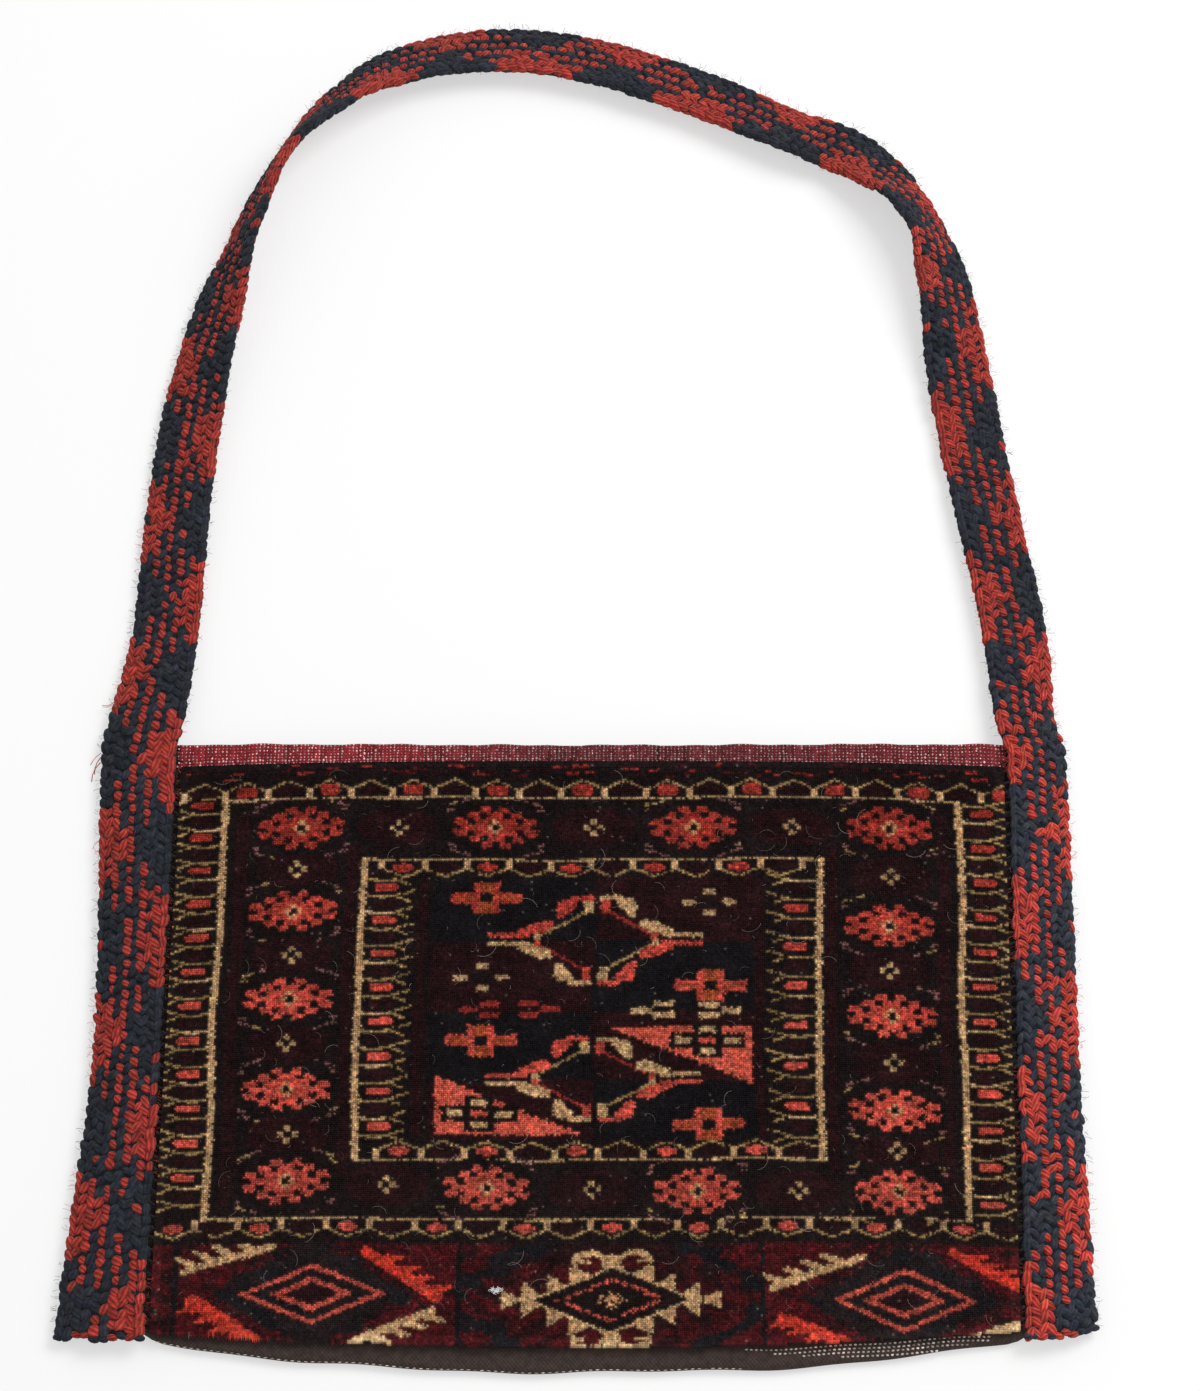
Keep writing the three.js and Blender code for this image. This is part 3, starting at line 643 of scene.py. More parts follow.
# %% [markdown]
# The field holds two medallions, which change colour where they cross the middle. A medallion has four
# quarters, red and cream in turn. A quarter is a few stepped blocks, with a thin inner line in the other
# colour. The sign of each direction is folded away, so one rule draws all four.

# %% A medallion
def medallion(cx, cy, squash):
    """Four stepped quarters round a middle."""
    for sx in (-1, 1):
        for sy in (-1, 1):
            main, other = ("red", "cream") if sx * sy < 0 else ("cream", "red")
            a, b = (X - cx) * sx, (Y - cy) * sy / squash
            inside = (a >= 0) & (b >= 0)
            knot(inside & (a / 27 + b / 19 < 1), "navy" if sx * sy < 0 else "plum")
            thin = inside & (np.abs(a / 25.5 + b / 15 - 1) < 0.045) & (a > 4) & (b > 2.5)
            knot(thin, "madder" if main == "cream" else "straw")
            blocks = (a > 1.2) & (a < 10.4) & (b > 17.3) & (b < 19.4)
            slanted = a + 0.9 * b
            blocks |= (a > 8.2) & (a < 15.8) & (b > 9.8) & (b < 17.8) & (slanted > 22) & (slanted < 30)
            wing = (a > 17) & (a < 30.5) & (b > 2.4) & (b < 8.2)
            blocks |= wing & (0.42 * a + b > 12.2) & (0.5 * a + b < 19.4)
            blocks |= (a > 26) & (a < 42.2) & (b > 0.9) & (b < 2.7)
            knot(blocks, main)
            knot((a > 1.5) & (a < 5) & (b > 11.6) & (b < 17.2), other)
            knot((a > 21.6) & (a < 24.4) & (b > 0) & (b < 2.8), other)


print("yarns so far:", sorted({YARN_NAMES[k] for k in np.unique(knots)}))

# %% [markdown]
# Smaller figures stand round the medallions. Crosses are brick with red edges. Dashes lie in fours round
# a dark eye, or in threes like an arrow. A half diamond leans on the frame in steps, and a small flower
# is cut out of it.

# %% Crosses, dashes and half diamonds
STEP_HEIGHT = 1.3
DASH_REACH = 8.2


def cross(cx, cy):
    """A short upright bar across a long level one."""
    a, b = np.abs(X - cx), np.abs(Y - cy)
    knot((a < 14) & (b < 2.1), "red")
    knot((a < 12) & (b < 1.1), "brick")
    knot((a < 5.2) & (b < 6.4), "red")
    knot((a < 2.8) & (b < 6.4), "brick")
    knot((a < 2.6) & (b < 2), "navy")


def dash_flower(cx, cy):
    """Four dashes round a dark eye."""
    a, b = np.abs(X - cx), np.abs(Y - cy)
    knot((a < 3.4) & (b < 2.4), "black")
    knot((np.abs(a - DASH_REACH) < 2.8) & (b < 1.1), "tan")
    knot((a < 2.4) & (b > 3.4) & (b < 5.6), "tan")


def dash_arrow(cx, cy, way, yarn):
    """One dash and a pair of dashes in front of it."""
    for x0, x1, up in ((-8.5, -0.8, 0), (0, 8, 2.3), (0, 8, -2.3)):
        knot(box(cx + way * x0, cx + way * x1, cy + up - 1.2, cy + up + 1.2), yarn)


def half_diamond(way, tip, wall, base, height, hole):
    """Half a diamond with stepped edges: its point, its wall, its base line and the middle of its flower."""
    slope = height / abs(wall - tip)
    inward = (X - tip) * way
    depth = (base - Y) * way
    stepped = np.floor(inward * slope / STEP_HEIGHT) * STEP_HEIGHT + 1
    solid = (inward > 0) & ((wall - X) * way > 0) & (depth > 0) & (depth < stepped)
    knot(solid, "coral")
    a, b = np.abs(X - hole[0]), np.abs(Y - hole[1])
    knot(((a < 15) & (b < 3.2)) | ((a < 5.8) & (b < 7)), "black")
    knot((a > 6.6) & (a < 12.6) & (b < 1.3), "cream")
    knot((a < 3) & (b > 3.2) & (b < 5.6), "cream")
    knot((a < 3) & (b < 1.2), "red")


print("steps of a half diamond:", STEP_HEIGHT, "mm")

# %% [markdown]
# The field is quartered in navy and plum first, and its figures go on top. Their places follow the real
# bag, where the lower half is a little shorter than the upper one.

# %% The field
FIELD_LEVELS = [69, 41.5, 13, -15.6, -38.4]
for k in range(4):
    for side in (-1, 1):
        yarn = "navy" if (k + (side > 0)) % 2 == 0 else "plum"
        knot(box(0, side * 64, FIELD_LEVELS[k + 1], FIELD_LEVELS[k]), yarn)
half_diamond(1, 8.5, 63.2, 6.7, 23, (45.8, 0.9))
half_diamond(-1, -5.2, -61.4, -36.2, 23, (-44.2, -28))
medallion(1.2, 42.7, 0.96)
medallion(0.3, -14.1, 0.88)
for x, y in ((-42.8, 60), (46.8, 23.4), (-43.7, 1.6), (44.7, -32.6)):
    cross(x, y)
dash_flower(46.4, 58.3)
dash_flower(-43.2, 27.1)
dash_arrow(-44, 14, 1, "madder")
dash_arrow(-20.5, 14, -1, "madder")
dash_arrow(24.7, 13.5, 1, "cream")
dash_arrow(50.5, 13.2, -1, "cream")
print("cream knots:", int((knots == YARN_NAMES.index("cream")).sum()))

# %% [markdown]
# The skirt below the frames is wine red, and the wine has gone blotchy: plum and dark patches run into
# it. Three upright lines cut it into boxes, and a dark line closes it at the top. The middle box is
# darker, and a lattice of dark bands crosses it. Two sine waves that bend each other make the blotches,
# because plain noise would look like grain.

# %% The ground of the skirt
SKIRT_TOP = -78.8
MIDDLE_X, MIDDLE_Y = 7.6, -100.3
MIDDLE_HALF = 58
skirt = Y < SKIRT_TOP
from_middle = np.abs(X - MIDDLE_X)
stain = np.sin(KX / 4.1 + 3 * np.sin(KY / 5.3)) * np.sin(KY / 2.9 + 2 * np.sin(KX / 6.7))
stain += 0.35 * RNG.standard_normal(knots.shape)
for yarn, limit in (("wine", -9), ("plum", 0.55), ("black", 0.85)):
    knot(skirt & (stain > limit), yarn)
knot(skirt & (RNG.random(knots.shape) < 0.05), "crimson")
knot(skirt & (from_middle < MIDDLE_HALF) & (stain > 0.15), "plum")
lattice = np.abs(from_middle / 68 + np.abs(Y - MIDDLE_Y) / 37 - 1)
knot(skirt & (Y > -86 + 2.5 * stain) & (from_middle < 30), "plum")
knot(skirt & (from_middle < MIDDLE_HALF) & (lattice < 0.085 + 0.06 * stain), "slate")
for x in (-160.5, -51, 66):
    knot(box(x - 1.0, x + 1.0, -125, SKIRT_TOP), "navy")
knot(box(-168, 168, SKIRT_TOP, SKIRT_TOP + 1.6), "black")
print("wine knots:", int((knots == YARN_NAMES.index("wine")).sum()))

# %% [markdown]
# A double diamond stands left and right: two red rings on a dark ground with stepped edges. A cream
# hooked diamond stands in the middle. Its edge has teeth, a pair of curled horns grows from its upper and
# lower points, and small arrows from its sides. Each corner of the outer boxes holds half a feather.

# %% Figures of the skirt
BARB_SHARES = (0.14, 0.36, 0.58, 0.8)
BARB_LENGTH = 8.6


def feather(x0, y0, x1, y1, yarn, half, rise):
    """Half a feather: a slanting spine, with pointed barbs on its outer side."""
    way, away = math.copysign(1, x0 - x1), math.copysign(rise, y1 - y0)
    mask = stroke(x0, y0, x1, y1, half)
    for share in BARB_SHARES:
        x, y = x0 + (x1 - x0) * share, y0 + (y1 - y0) * share
        for part, thick in ((0.4, 1.5), (0.75, 1.1), (1, 0.7)):
            mask |= stroke(x, y, x + way * BARB_LENGTH * part, y + away * part, thick)
    knot(mask & skirt, yarn)


def double_diamond(cx, cy, outer, inner):
    """Two rings on a dark ground, each with its half width and half height."""
    a, b = np.abs(X - cx), np.abs(Y - cy)
    ground = np.floor(a / 2.5) * 2.5 / 37 + np.floor(b / 1.8) * 1.8 / 21 + 0.14 * stain < 1
    knot(ground & skirt, "soot")
    knot(ground & skirt & (stain < -0.3), "slate")
    for (half_x, half_y), line in ((outer, 1.75), (inner, 2.1)):
        size = a / half_x + b / half_y
        knot((size < 1.04) & (size > 1.04 - line / half_y), "red")
    knot(lozenge(cx, cy, inner[0] * 0.55, inner[1] * 0.55), "plum")


def hooked_diamond(cx, cy):
    """A cream diamond with teeth, horns and a dark inside."""
    a, b = np.abs(X - cx), np.abs(Y - cy)
    edge = a / 30 + b / 12
    rise = b - 12 * (1 - a / 30)
    knot((rise < 1.0) & (a < 30), "cream")
    for outer, inner, peak, slope in ((24.2, 17, 10.2, 0.68), (16, 7, 13.4, 0.42)):
        knot((a < outer) & (a > inner) & (b < peak - (outer - a) * slope), "cream")
    knot((a > 27) & (a < 34) & (b < 1.6 + (a - 27) * 0.8), "cream")
    knot((a > 32) & (a < 36) & (b < 0.5), "cream")
    knot((a > 35.4) & (a < 42) & (b < 0.8 + (a - 35.4) * 0.42), "cream")
    knot((a < 3.6) & (b < 17), "cream")
    knot(np.hypot((a - 9.4) / 6.4, (b - 15.4) / 3.6) < 1, "cream")
    knot(np.hypot((a - 8.5) / 5.1, (b - 14.1) / 2.7) < 1, "wine")
    knot((a > 8.8) & (a < 13.4) & (np.abs(b - 14.8) < 0.6), "cream")
    knot(edge <= 1, "black")
    knot(KEPT & (edge < 0.72) & (edge > 0.59) & ((np.round(a) % 4) < 3), "red")
    knot(KEPT & (a / 6.2 + b / 3.6 < 1) & (np.round(a * 0.8 + b) % 3 > 0), "peach")


print("barbs on half a feather:", len(BARB_SHARES))

# %% [markdown]
# Now the figures are placed. Cream feathers and scarlet ones lie across from each other in each box. Each
# feather is given by the two ends of its spine, because no two are alike.

# %% The skirt
double_diamond(-107.5, -98.5, (28.2, 11), (15.7, 6.4))
double_diamond(120.8, -100.8, (26.7, 11.8), (15.6, 6.5))
hooked_diamond(MIDDLE_X, MIDDLE_Y)
feather(-157.5, -89.6, -123, -80, "cream", 1.4, 4.2)
feather(-59, -99.4, -87, -82.2, "scarlet", 2.0, 1.6)
feather(-153.5, -101, -126, -118.5, "scarlet", 2.6, 1.6)
feather(-60, -104.2, -92, -117, "cream", 1.4, 2.4)
feather(70, -96.4, 104, -84.2, "cream", 1.5, 3)
feather(164, -94.6, 139, -82, "scarlet", 1.8, 1.6)
feather(73, -108, 104, -119.5, "scarlet", 2.0, 1.6)
feather(164, -109, 136, -118.6, "cream", 1.5, 2.4)
print("scarlet knots:", int((knots == YARN_NAMES.index("scarlet")).sum()))

# %% [markdown]
# Dye is never even. Every knot gets its own tone. The red came from several dye lots, which show as
# bands: darkest at the mouth, brightest below the middle, and pinker in the lower rows. The reds and the
# wine and plum grounds are streaked along the rows, and a few knots catch dust. The lower rows get a
# faint painted sheen, a lift of colour that stands in for the glow of the pile at grazing angles.
# Neighbouring tufts also lean into each other, so a second table has the colours between each four knots.

# %% Tones of the knots
TONE_SPREAD, ROW_SPREAD, WARMTH_SPREAD = 0.3, 0.06, 0.06
STREAK_KNOTS = 7
STREAK_DEPTH = 0.16
DUST_SHARE = 0.003
DUST = np.array([0.1, 0.085, 0.075])
# Painted sheen: a faint lift of the colour, added to the lower rows.
SHEEN_LIFT = np.array([0.006, 0.0042, 0.0036])
base = np.array([linear(YARNS[name]) for name in YARN_NAMES])[knots]
tone = np.exp(TONE_SPREAD * RNG.standard_normal(knots.shape) - 0.05)
tone *= 1 + ROW_SPREAD * RNG.standard_normal((KNOTS_ALONG, 1))
streak = RNG.standard_normal((KNOTS_ALONG, KNOTS_ACROSS // STREAK_KNOTS))
streak = np.repeat(streak, STREAK_KNOTS, axis=1)
streaked = np.isin(knots, [YARN_NAMES.index(name) for name in ("wine", "plum", "red", "scarlet")])
tone *= 1 + STREAK_DEPTH * streak * streaked
dye_bands = np.interp(KY, (-60, -20, 20, 55, 95), (1.02, 1.2, 1.08, 0.97, 0.68))
is_red = knots == YARN_NAMES.index("red")
tone *= np.where(is_red, dye_bands, 1)
pink_bands = np.interp(KY, (-60, 20, 55, 95), (1.25, 1.1, 0.95, 0.8))
base[..., 1:] *= np.where(is_red, pink_bands, 1)[..., None]
warmth = 1 + WARMTH_SPREAD * RNG.standard_normal((*knots.shape, 3))
dust = (RNG.random(knots.shape) < DUST_SHARE)[..., None] * DUST
# Painted sheen: most in the lowest rows and least at the mouth.
painted_sheen = np.interp(KY, (-60, -40, 70, 95), (1, 0.5, 0.5, 0.25))[..., None] * SHEEN_LIFT
toned = base * np.clip(tone, 0.4, 2.1)[..., None] * warmth
knot_colours = np.clip(toned + dust + painted_sheen, 0, 1)
padded = np.pad(knot_colours, ((1, 1), (1, 1), (0, 0)), mode="edge")
corner_colours = (padded[:-1, :-1] + padded[1:, :-1] + padded[:-1, 1:] + padded[1:, 1:]) / 4
print("knot colours:", knot_colours.shape, "and between them:", corner_colours.shape)

# %% [markdown]
# A knot shows as a short tuft of cut wool. Hair would be lost in the export, so each tuft is a real point
# of the mesh, with a height and a lean of its own. Coloured tufts stand a little proud, because dark dye
# eats the wool. The nap rises and falls slowly over the front as well.

# %% Heights of the tufts
PILE_FOOT = 3.9
TUFT_HEIGHT = 0.55
NAP = 0.2
TUFT_STRAY, LEAN_STRAY, FOOT_STRAY = 0.16, 0.14, 0.12
PROUD = {
    "red": 0.3, "scarlet": 0.3, "coral": 0.35, "cream": 0.35, "brick": 0.3, "peach": 0.25, "wine": 0.1,
}
KNOT_WIDTH = 2 * PILE_HALF / KNOTS_ACROSS
KNOT_LENGTH = (PILE_TOP_Y - PILE_LOW_Y) / KNOTS_ALONG
CORNERS_ACROSS = KNOTS_ACROSS + 1
proud = np.array([PROUD.get(name, 0) for name in YARN_NAMES])[knots]
nap = NAP * np.sin(KX / 5.3 + 2 * np.sin(KY / 7.1)) * np.sin(KY / 6.1 + np.sin(KX / 4.3))
tuft_lift = TUFT_HEIGHT + proud + nap + TUFT_STRAY * RNG.standard_normal(knots.shape)
lean = LEAN_STRAY * RNG.standard_normal((*knots.shape, 2))
foot_lift = FOOT_STRAY * RNG.standard_normal((KNOTS_ALONG + 1, CORNERS_ACROSS))
print("tufts stand", round(float(tuft_lift.min()), 2), "to", round(float(tuft_lift.max()), 2), "mm")

# %% [markdown]
# The front is cut into three breadths to keep each mesh light. A breadth starts as a grid with one face
# for each knot, laid on the swell, without the knots past the rounded lower edge. Each face keeps the
# number of its knot and each vertex the number of its corner, because both are needed later for the
# colours.

# %% A breadth as a grid
def bake_height(share):
    """Height on the bake map of a share of the pile's length; the strip below is for the underside."""
    return 0.03 + 0.97 * share


def laid_grid(first, last):
    """A bmesh of the knots of one breadth on the swell, with its map, knot numbers and corner numbers."""
    bm = bmesh.new()
    uv = bm.loops.layers.uv.new("OFBake")
    number = bm.faces.layers.int.new("number")
    corner = bm.verts.layers.int.new("corner")
    across = last - first
    bmesh.ops.create_grid(bm, x_segments=across, y_segments=KNOTS_ALONG, size=0.5, calc_uvs=True)
    bare = []
    for face in bm.faces:
        middle = face.calc_center_median()
        i = first + int((middle.x + 0.5) * across)
        j = int((middle.y + 0.5) * KNOTS_ALONG)
        face[number] = j * KNOTS_ACROSS + i
        for loop in face.loops:
            loop[uv].uv.y = bake_height(loop[uv].uv.y)
        if KY[j, i] < pile_edge(KX[j, i]):
            bare.append(face)
    bmesh.ops.delete(bm, geom=bare, context="FACES")
    for vert in bm.verts:
        i = round((vert.co.x + 0.5) * across) + first
        j = round((vert.co.y + 0.5) * KNOTS_ALONG)
        vert[corner] = 1 + j * CORNERS_ACROSS + i
        x, y = -PILE_HALF + i * KNOT_WIDTH, PILE_LOW_Y + j * KNOT_LENGTH
        vert.co = Vector((x, y, cloth_top(x, y) + 0.1)) * MM
    return bm, uv, number, corner


print("a knot is", round(KNOT_WIDTH, 2), "by", round(KNOT_LENGTH, 2), "mm")

# %% [markdown]
# The grid is extruded to the height of the tufts' feet, which gives the pile its thickness. Its underside
# is never seen, so its faces are joined into large squares. Then every upper face is poked, which raises
# a point in its middle. The point gets its height and its lean; at the rim it leans outwards, and on the
# left of the fold it hangs over. Poking makes only four triangles of each knot, fewer than an inset or an
# extrusion would.

# %% Poking the tufts
SQUARE = 16
SIDE_RIM, TOP_RIM = 4, 3
FOLD_RIM = 3.2
RIM_LEAN = 0.3
HANG = 1.8
HANG_START, HANG_REACH = -60, 60
SIDE_DROP, END_DROP = 0.4, 0.1


def checker(place):
    """Colour of the board of squares that the underside is joined into."""
    j, i = divmod(place, KNOTS_ACROSS)
    return (i // SQUARE + j // SQUARE) % 2


def pile_breadth(name, first, last):
    """The pile from one column of knots to another."""
    bm, uv, number, corner = laid_grid(first, last)
    under = list(bm.faces)
    made = bmesh.ops.extrude_face_region(bm, geom=under + list(bm.edges), use_keep_orig=True)["geom"]
    tops = [part for part in made if isinstance(part, bmesh.types.BMFace)]
    for vert in (part for part in made if isinstance(part, bmesh.types.BMVert)):
        vert.co.z += (PILE_FOOT + foot_lift.flat[vert[corner] - 1]) * MM
    for parity in (0, 1):
        squares = [f for f in under if f.is_valid and checker(f[number]) == parity]
        bmesh.ops.dissolve_faces(bm, faces=squares, use_verts=True)
    bmesh.ops.recalc_face_normals(bm, faces=bm.faces[:])
    raised = set(tops)
    for face in bm.faces:
        if face not in raised:
            for loop in face.loops:
                loop[uv].uv.y *= 0.02
    points = bmesh.ops.poke(bm, faces=tops)["verts"]
    for vert in points:
        j, i = divmod(vert.link_faces[0][number], KNOTS_ACROSS)
        rim_x = int(i >= KNOTS_ACROSS - SIDE_RIM) - int(i < SIDE_RIM)
        rim_y = int(j >= KNOTS_ALONG - TOP_RIM) - int(KY[j, i] < pile_edge(KX[j, i]) + FOLD_RIM)
        hang = RIM_LEAN + HANG * smooth((HANG_START - KX[j, i]) / HANG_REACH) * (rim_y < 0)
        drop = SIDE_DROP * abs(rim_x) + (END_DROP + hang) * abs(rim_y)
        vert[corner] = 0
        sideways, along = lean[j, i] + np.array([RIM_LEAN * rim_x, hang * rim_y])
        vert.co += Vector((sideways, along, tuft_lift[j, i] - drop)) * MM
        for loop in vert.link_loops:
            loop[uv].uv = ((i - first + 0.5) / (last - first), bake_height((j + 0.5) / KNOTS_ALONG))
    return finish_piece(name, bm, PILE_WOOL, rounded=False)


print("the underside is joined in squares of", SQUARE, "knots")

# %% [markdown]
# A tuft has its own colour at the point and shares its colour with its neighbours at the foot. So the
# colour belongs to the corners of the faces, and it is looked up by the numbers that the mesh has kept.

# %% Colouring the tufts
OWN_SHARE = 0.5


def dye_pile(piece):
    """Colour each corner of each face: the knot's own colour at the point, a shared one at the foot."""
    mesh = piece.data
    numbers = np.empty(len(mesh.polygons), int)
    sizes = np.empty(len(mesh.polygons), int)
    corners = np.empty(len(mesh.vertices), int)
    where = np.empty(len(mesh.loops), int)
    mesh.attributes["number"].data.foreach_get("value", numbers)
    mesh.polygons.foreach_get("loop_total", sizes)
    mesh.attributes["corner"].data.foreach_get("value", corners)
    mesh.loops.foreach_get("vertex_index", where)
    own = knot_colours.reshape(-1, 3)[np.repeat(numbers, sizes)]
    corner = corners[where]
    shared = corner_colours.reshape(-1, 3)[np.maximum(0, corner - 1)]
    mixed = np.where((corner == 0)[:, None], own, own * OWN_SHARE + shared * (1 - OWN_SHARE))
    layer = mesh.attributes.new("yarn", "FLOAT_COLOR", "CORNER")
    layer.data.foreach_set("color", np.c_[mixed, np.ones(len(mixed))].ravel())


print("a foot takes", OWN_SHARE, "of its tuft's own colour")

# %% [markdown]
# The three breadths are made and coloured. Every solid of the pile, its ground and its figures, is
# hidden, and the breadths take its place.

# %% The three breadths
THIRD = KNOTS_ACROSS // 3
pile_left = pile_breadth("pile_left", 0, THIRD)
pile_middle = pile_breadth("pile_middle", THIRD, 2 * THIRD)
pile_right = pile_breadth("pile_right", 2 * THIRD, KNOTS_ACROSS)
for piece in (pile_left, pile_middle, pile_right):
    dye_pile(piece)
NOT_PILE = ("woven_pouch", "mouth_flatweave", "shoulder_strap", "seam_thread_left", "seam_thread_right")
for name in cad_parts:
    if name in NOT_PILE:
        continue
    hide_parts(name)
print("solids of the pile:", len(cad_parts) - len(NOT_PILE))

# %% [markdown]
# The pouch is one cloth. Its outer face is a grid that starts at the mouth of the back, runs down the
# back on the table, turns round the fold, and comes up under the pile to the mouth again. It is given its
# thickness inwards, so the pocket stays open at the mouth. The fold waves a little, as it does where a
# sewn cloth is turned. A simulation could fold it, but the bag lies flat, and a rule keeps the cloth
# under its pile.

# %% The cloth of the pouch
CLOTH_HALF = 174.8
CLOTH_CELLS = 84
BACK_CELLS, FOLD_CELLS, FRONT_CELLS = 34, 8, 40
WALL = 1.9
CORNER_START = 163
CORNER_RISE = 7


def cloth_place(across, step):
    """Outer face of the cloth: share of the width, and cell counted from the mouth of the back."""
    x = (2 * across - 1) * CLOTH_HALF
    wave = 0.5 * math.sin(x / 17) + 0.35 * math.sin(x / 7.3 + 1)
    corner = max(0.0, abs(x) - CORNER_START) / (CLOTH_HALF - CORNER_START)
    nose = float(fold_edge(x)) + wave + CORNER_RISE * corner**2
    bend = nose + FOLD_ROUND
    mouth = float(mouth_edge(x))
    high = float(cloth_top(x, bend))
    if step <= BACK_CELLS:
        return Vector((x, mouth + (bend - mouth) * step / BACK_CELLS, 0))
    if step < BACK_CELLS + FOLD_CELLS:
        turn = math.pi * (step - BACK_CELLS) / FOLD_CELLS
        return Vector((x, bend - FOLD_ROUND * math.sin(turn), high * (1 - math.cos(turn)) / 2))
    y = bend + (mouth - bend) * (step - BACK_CELLS - FOLD_CELLS) / FRONT_CELLS
    return Vector((x, y, float(cloth_top(x, y))))


print("fold in the middle:", [round(c, 1) for c in cloth_place(0.5, BACK_CELLS + FOLD_CELLS / 2)])

# %% [markdown]
# The grid of the cloth is bent by that rule. Its faces are turned outwards, down on the back, before it
# gets its thickness, because solidify grows it inwards from there.

# %% The pouch
def pouch_cloth(material):
    """The cloth as a bent grid with a wall."""
    bm = bmesh.new()
    bm.loops.layers.uv.new("OFBake")
    steps = BACK_CELLS + FOLD_CELLS + FRONT_CELLS
    bmesh.ops.create_grid(bm, x_segments=CLOTH_CELLS, y_segments=steps, size=0.5, calc_uvs=True)
    for vert in bm.verts:
        vert.co = cloth_place(vert.co.x + 0.5, round((vert.co.y + 0.5) * steps)) * MM
    bmesh.ops.recalc_face_normals(bm, faces=bm.faces[:])
    back = min(bm.faces, key=lambda f: f.calc_center_median().z)
    if back.normal.z > 0:
        bmesh.ops.reverse_faces(bm, faces=bm.faces[:])
    bmesh.ops.solidify(bm, geom=bm.faces[:], thickness=WALL * MM)
    return finish_piece("pouch_cloth", bm, material)


BROWN_WEAVE = wool_material(
    "brown_flat_weave", sheen=0.05, mottle=0.25, colour="#463a36", relief=weave, bump=0.7
)
pouch = pouch_cloth(BROWN_WEAVE)
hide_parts("woven_pouch")
heights = [v.co.z / MM for v in pouch.data.vertices]
print("cloth height:", round(min(heights), 2), "to", round(max(heights), 2), "mm")

# %% [markdown]
# The strip at the mouth is flat weave in red, so tightly beaten that only small points of its pale warps
# show. Each float of the weft is a cell of a fine grid, inset and raised on its own. The red fades from
# crimson at the left to a brown madder in the middle. Raised cells catch the light from every side, which
# bump alone wouldn't.

# %% The red strip at the mouth
STRIP_FLOATS = 222
STRIP_ROWS = 7
STRIP_LOW = PILE_TOP_Y + 0.2
STRIP_PROUD = 0.9
STRIP_HALF = 168.6
FLOAT_INSET = 0.28
FLOAT_RISE = 0.4
TURN_START, TURN_REACH, TURN_DROP = 0.86, 0.14, 0.5
RED_WEAVE = wool_material("red_flat_weave", sheen=0.03, mottle=0.3, relief=weave, groove_shade=0.35)


def strip_place(x, share):
    """Length and height of the strip's face at a share of its way from the pile to the mouth."""
    wave = 0.25 * math.sin(x / 7.7) + 0.2 * math.sin(x / 3.1 + 1)
    y = STRIP_LOW + share * (float(mouth_edge(x)) + wave - STRIP_LOW)
    over = max(0.0, (share - TURN_START) / TURN_REACH)
    return y, float(cloth_top(x, y)) + STRIP_PROUD - TURN_DROP * over * over


def mouth_strip():
    """The strip as a grid with a raised cell for each float."""
    bm = bmesh.new()
    bm.loops.layers.uv.new("OFBake")
    number = bm.faces.layers.int.new("number")
    bmesh.ops.create_grid(bm, x_segments=STRIP_FLOATS, y_segments=STRIP_ROWS, size=0.5, calc_uvs=True)
    for face in bm.faces:
        face[number] = int((face.calc_center_median().x + 0.5) * STRIP_FLOATS)
    floats = list(bm.faces)
    made = bmesh.ops.extrude_face_region(bm, geom=floats + list(bm.edges), use_keep_orig=True)["geom"]
    tops = [part for part in made if isinstance(part, bmesh.types.BMFace)]
    upper = {part for part in made if isinstance(part, bmesh.types.BMVert)}
    for vert in bm.verts:
        x = 2 * vert.co.x * STRIP_HALF
        y, level = strip_place(x, vert.co.y + 0.5)
        vert.co = Vector((x, y, level if vert in upper else float(cloth_top(x, y)) + 0.05)) * MM
    bmesh.ops.recalc_face_normals(bm, faces=bm.faces[:])
    bmesh.ops.inset_individual(
        bm, faces=tops, thickness=FLOAT_INSET * MM, depth=FLOAT_RISE * MM,
        use_even_offset=True, use_interpolate=True,
    )
    return finish_piece("mouth_strip", bm, RED_WEAVE)


strip = mouth_strip()
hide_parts("mouth_flatweave")
shares = np.arange(STRIP_FLOATS) / STRIP_FLOATS
crimson = np.interp(shares, (0, 0.25, 0.45, 0.7, 1), (1, 0.95, 0.2, 0.3, 0.6))[:, None]
strip_reds = np.array(linear("#56262a")) * (1 - crimson) + np.array(linear("#90282f")) * crimson
tint(strip, np.clip(strip_reds * (1 + 0.18 * RNG.standard_normal((STRIP_FLOATS, 1))), 0, 1))
print("floats in the strip:", STRIP_FLOATS * STRIP_ROWS)

# %% [markdown]
# The pale points are small rounded grains, one between each two floats. They are larger in the two rows
# next to the pile, and paler at both ends of the strip.

# %% Pale points of the warps
POINT_SIZE = Vector((0.36, 0.4, 0.4)) * MM
POINT_RISE = 0.12
LARGE_ROWS, LARGE = 2, 1.3
warp_point = bmesh.new()
bmesh.ops.create_icosphere(warp_point, subdivisions=1, radius=1)
points = []
for i in range(STRIP_FLOATS):
    for j in range(STRIP_ROWS):
        x = (2 * (i + 0.02 + 0.1 * RNG.standard_normal()) / STRIP_FLOATS - 1) * STRIP_HALF
        y, level = strip_place(x, (j + 0.55 + 0.08 * RNG.standard_normal()) / STRIP_ROWS)
        size = (LARGE if j < LARGE_ROWS else 1) * (1 + 0.25 * RNG.standard_normal())
        spot = Vector((x, y, level + POINT_RISE)) * MM
        points.append(Matrix.LocRotScale(spot, None, POINT_SIZE * np.clip(size, 0.4, 1.6)))
PALE_WARP = wool_material("pale_warp", sheen=0.1, mottle=0.15)
warps = finish_piece("mouth_warps", stamped(warp_point, points), PALE_WARP)
pale = np.array(linear("#d2b2ae")) * (1 + 0.35 * RNG.standard_normal((len(points), 1)))
paleness = np.interp(shares, (0, 0.25, 0.45, 0.7, 1), (0.95, 0.9, 0.5, 0.55, 0.85))
pale *= np.repeat(paleness, STRIP_ROWS)[:, None]
tint(warps, np.clip(pale, 0.02, 1))

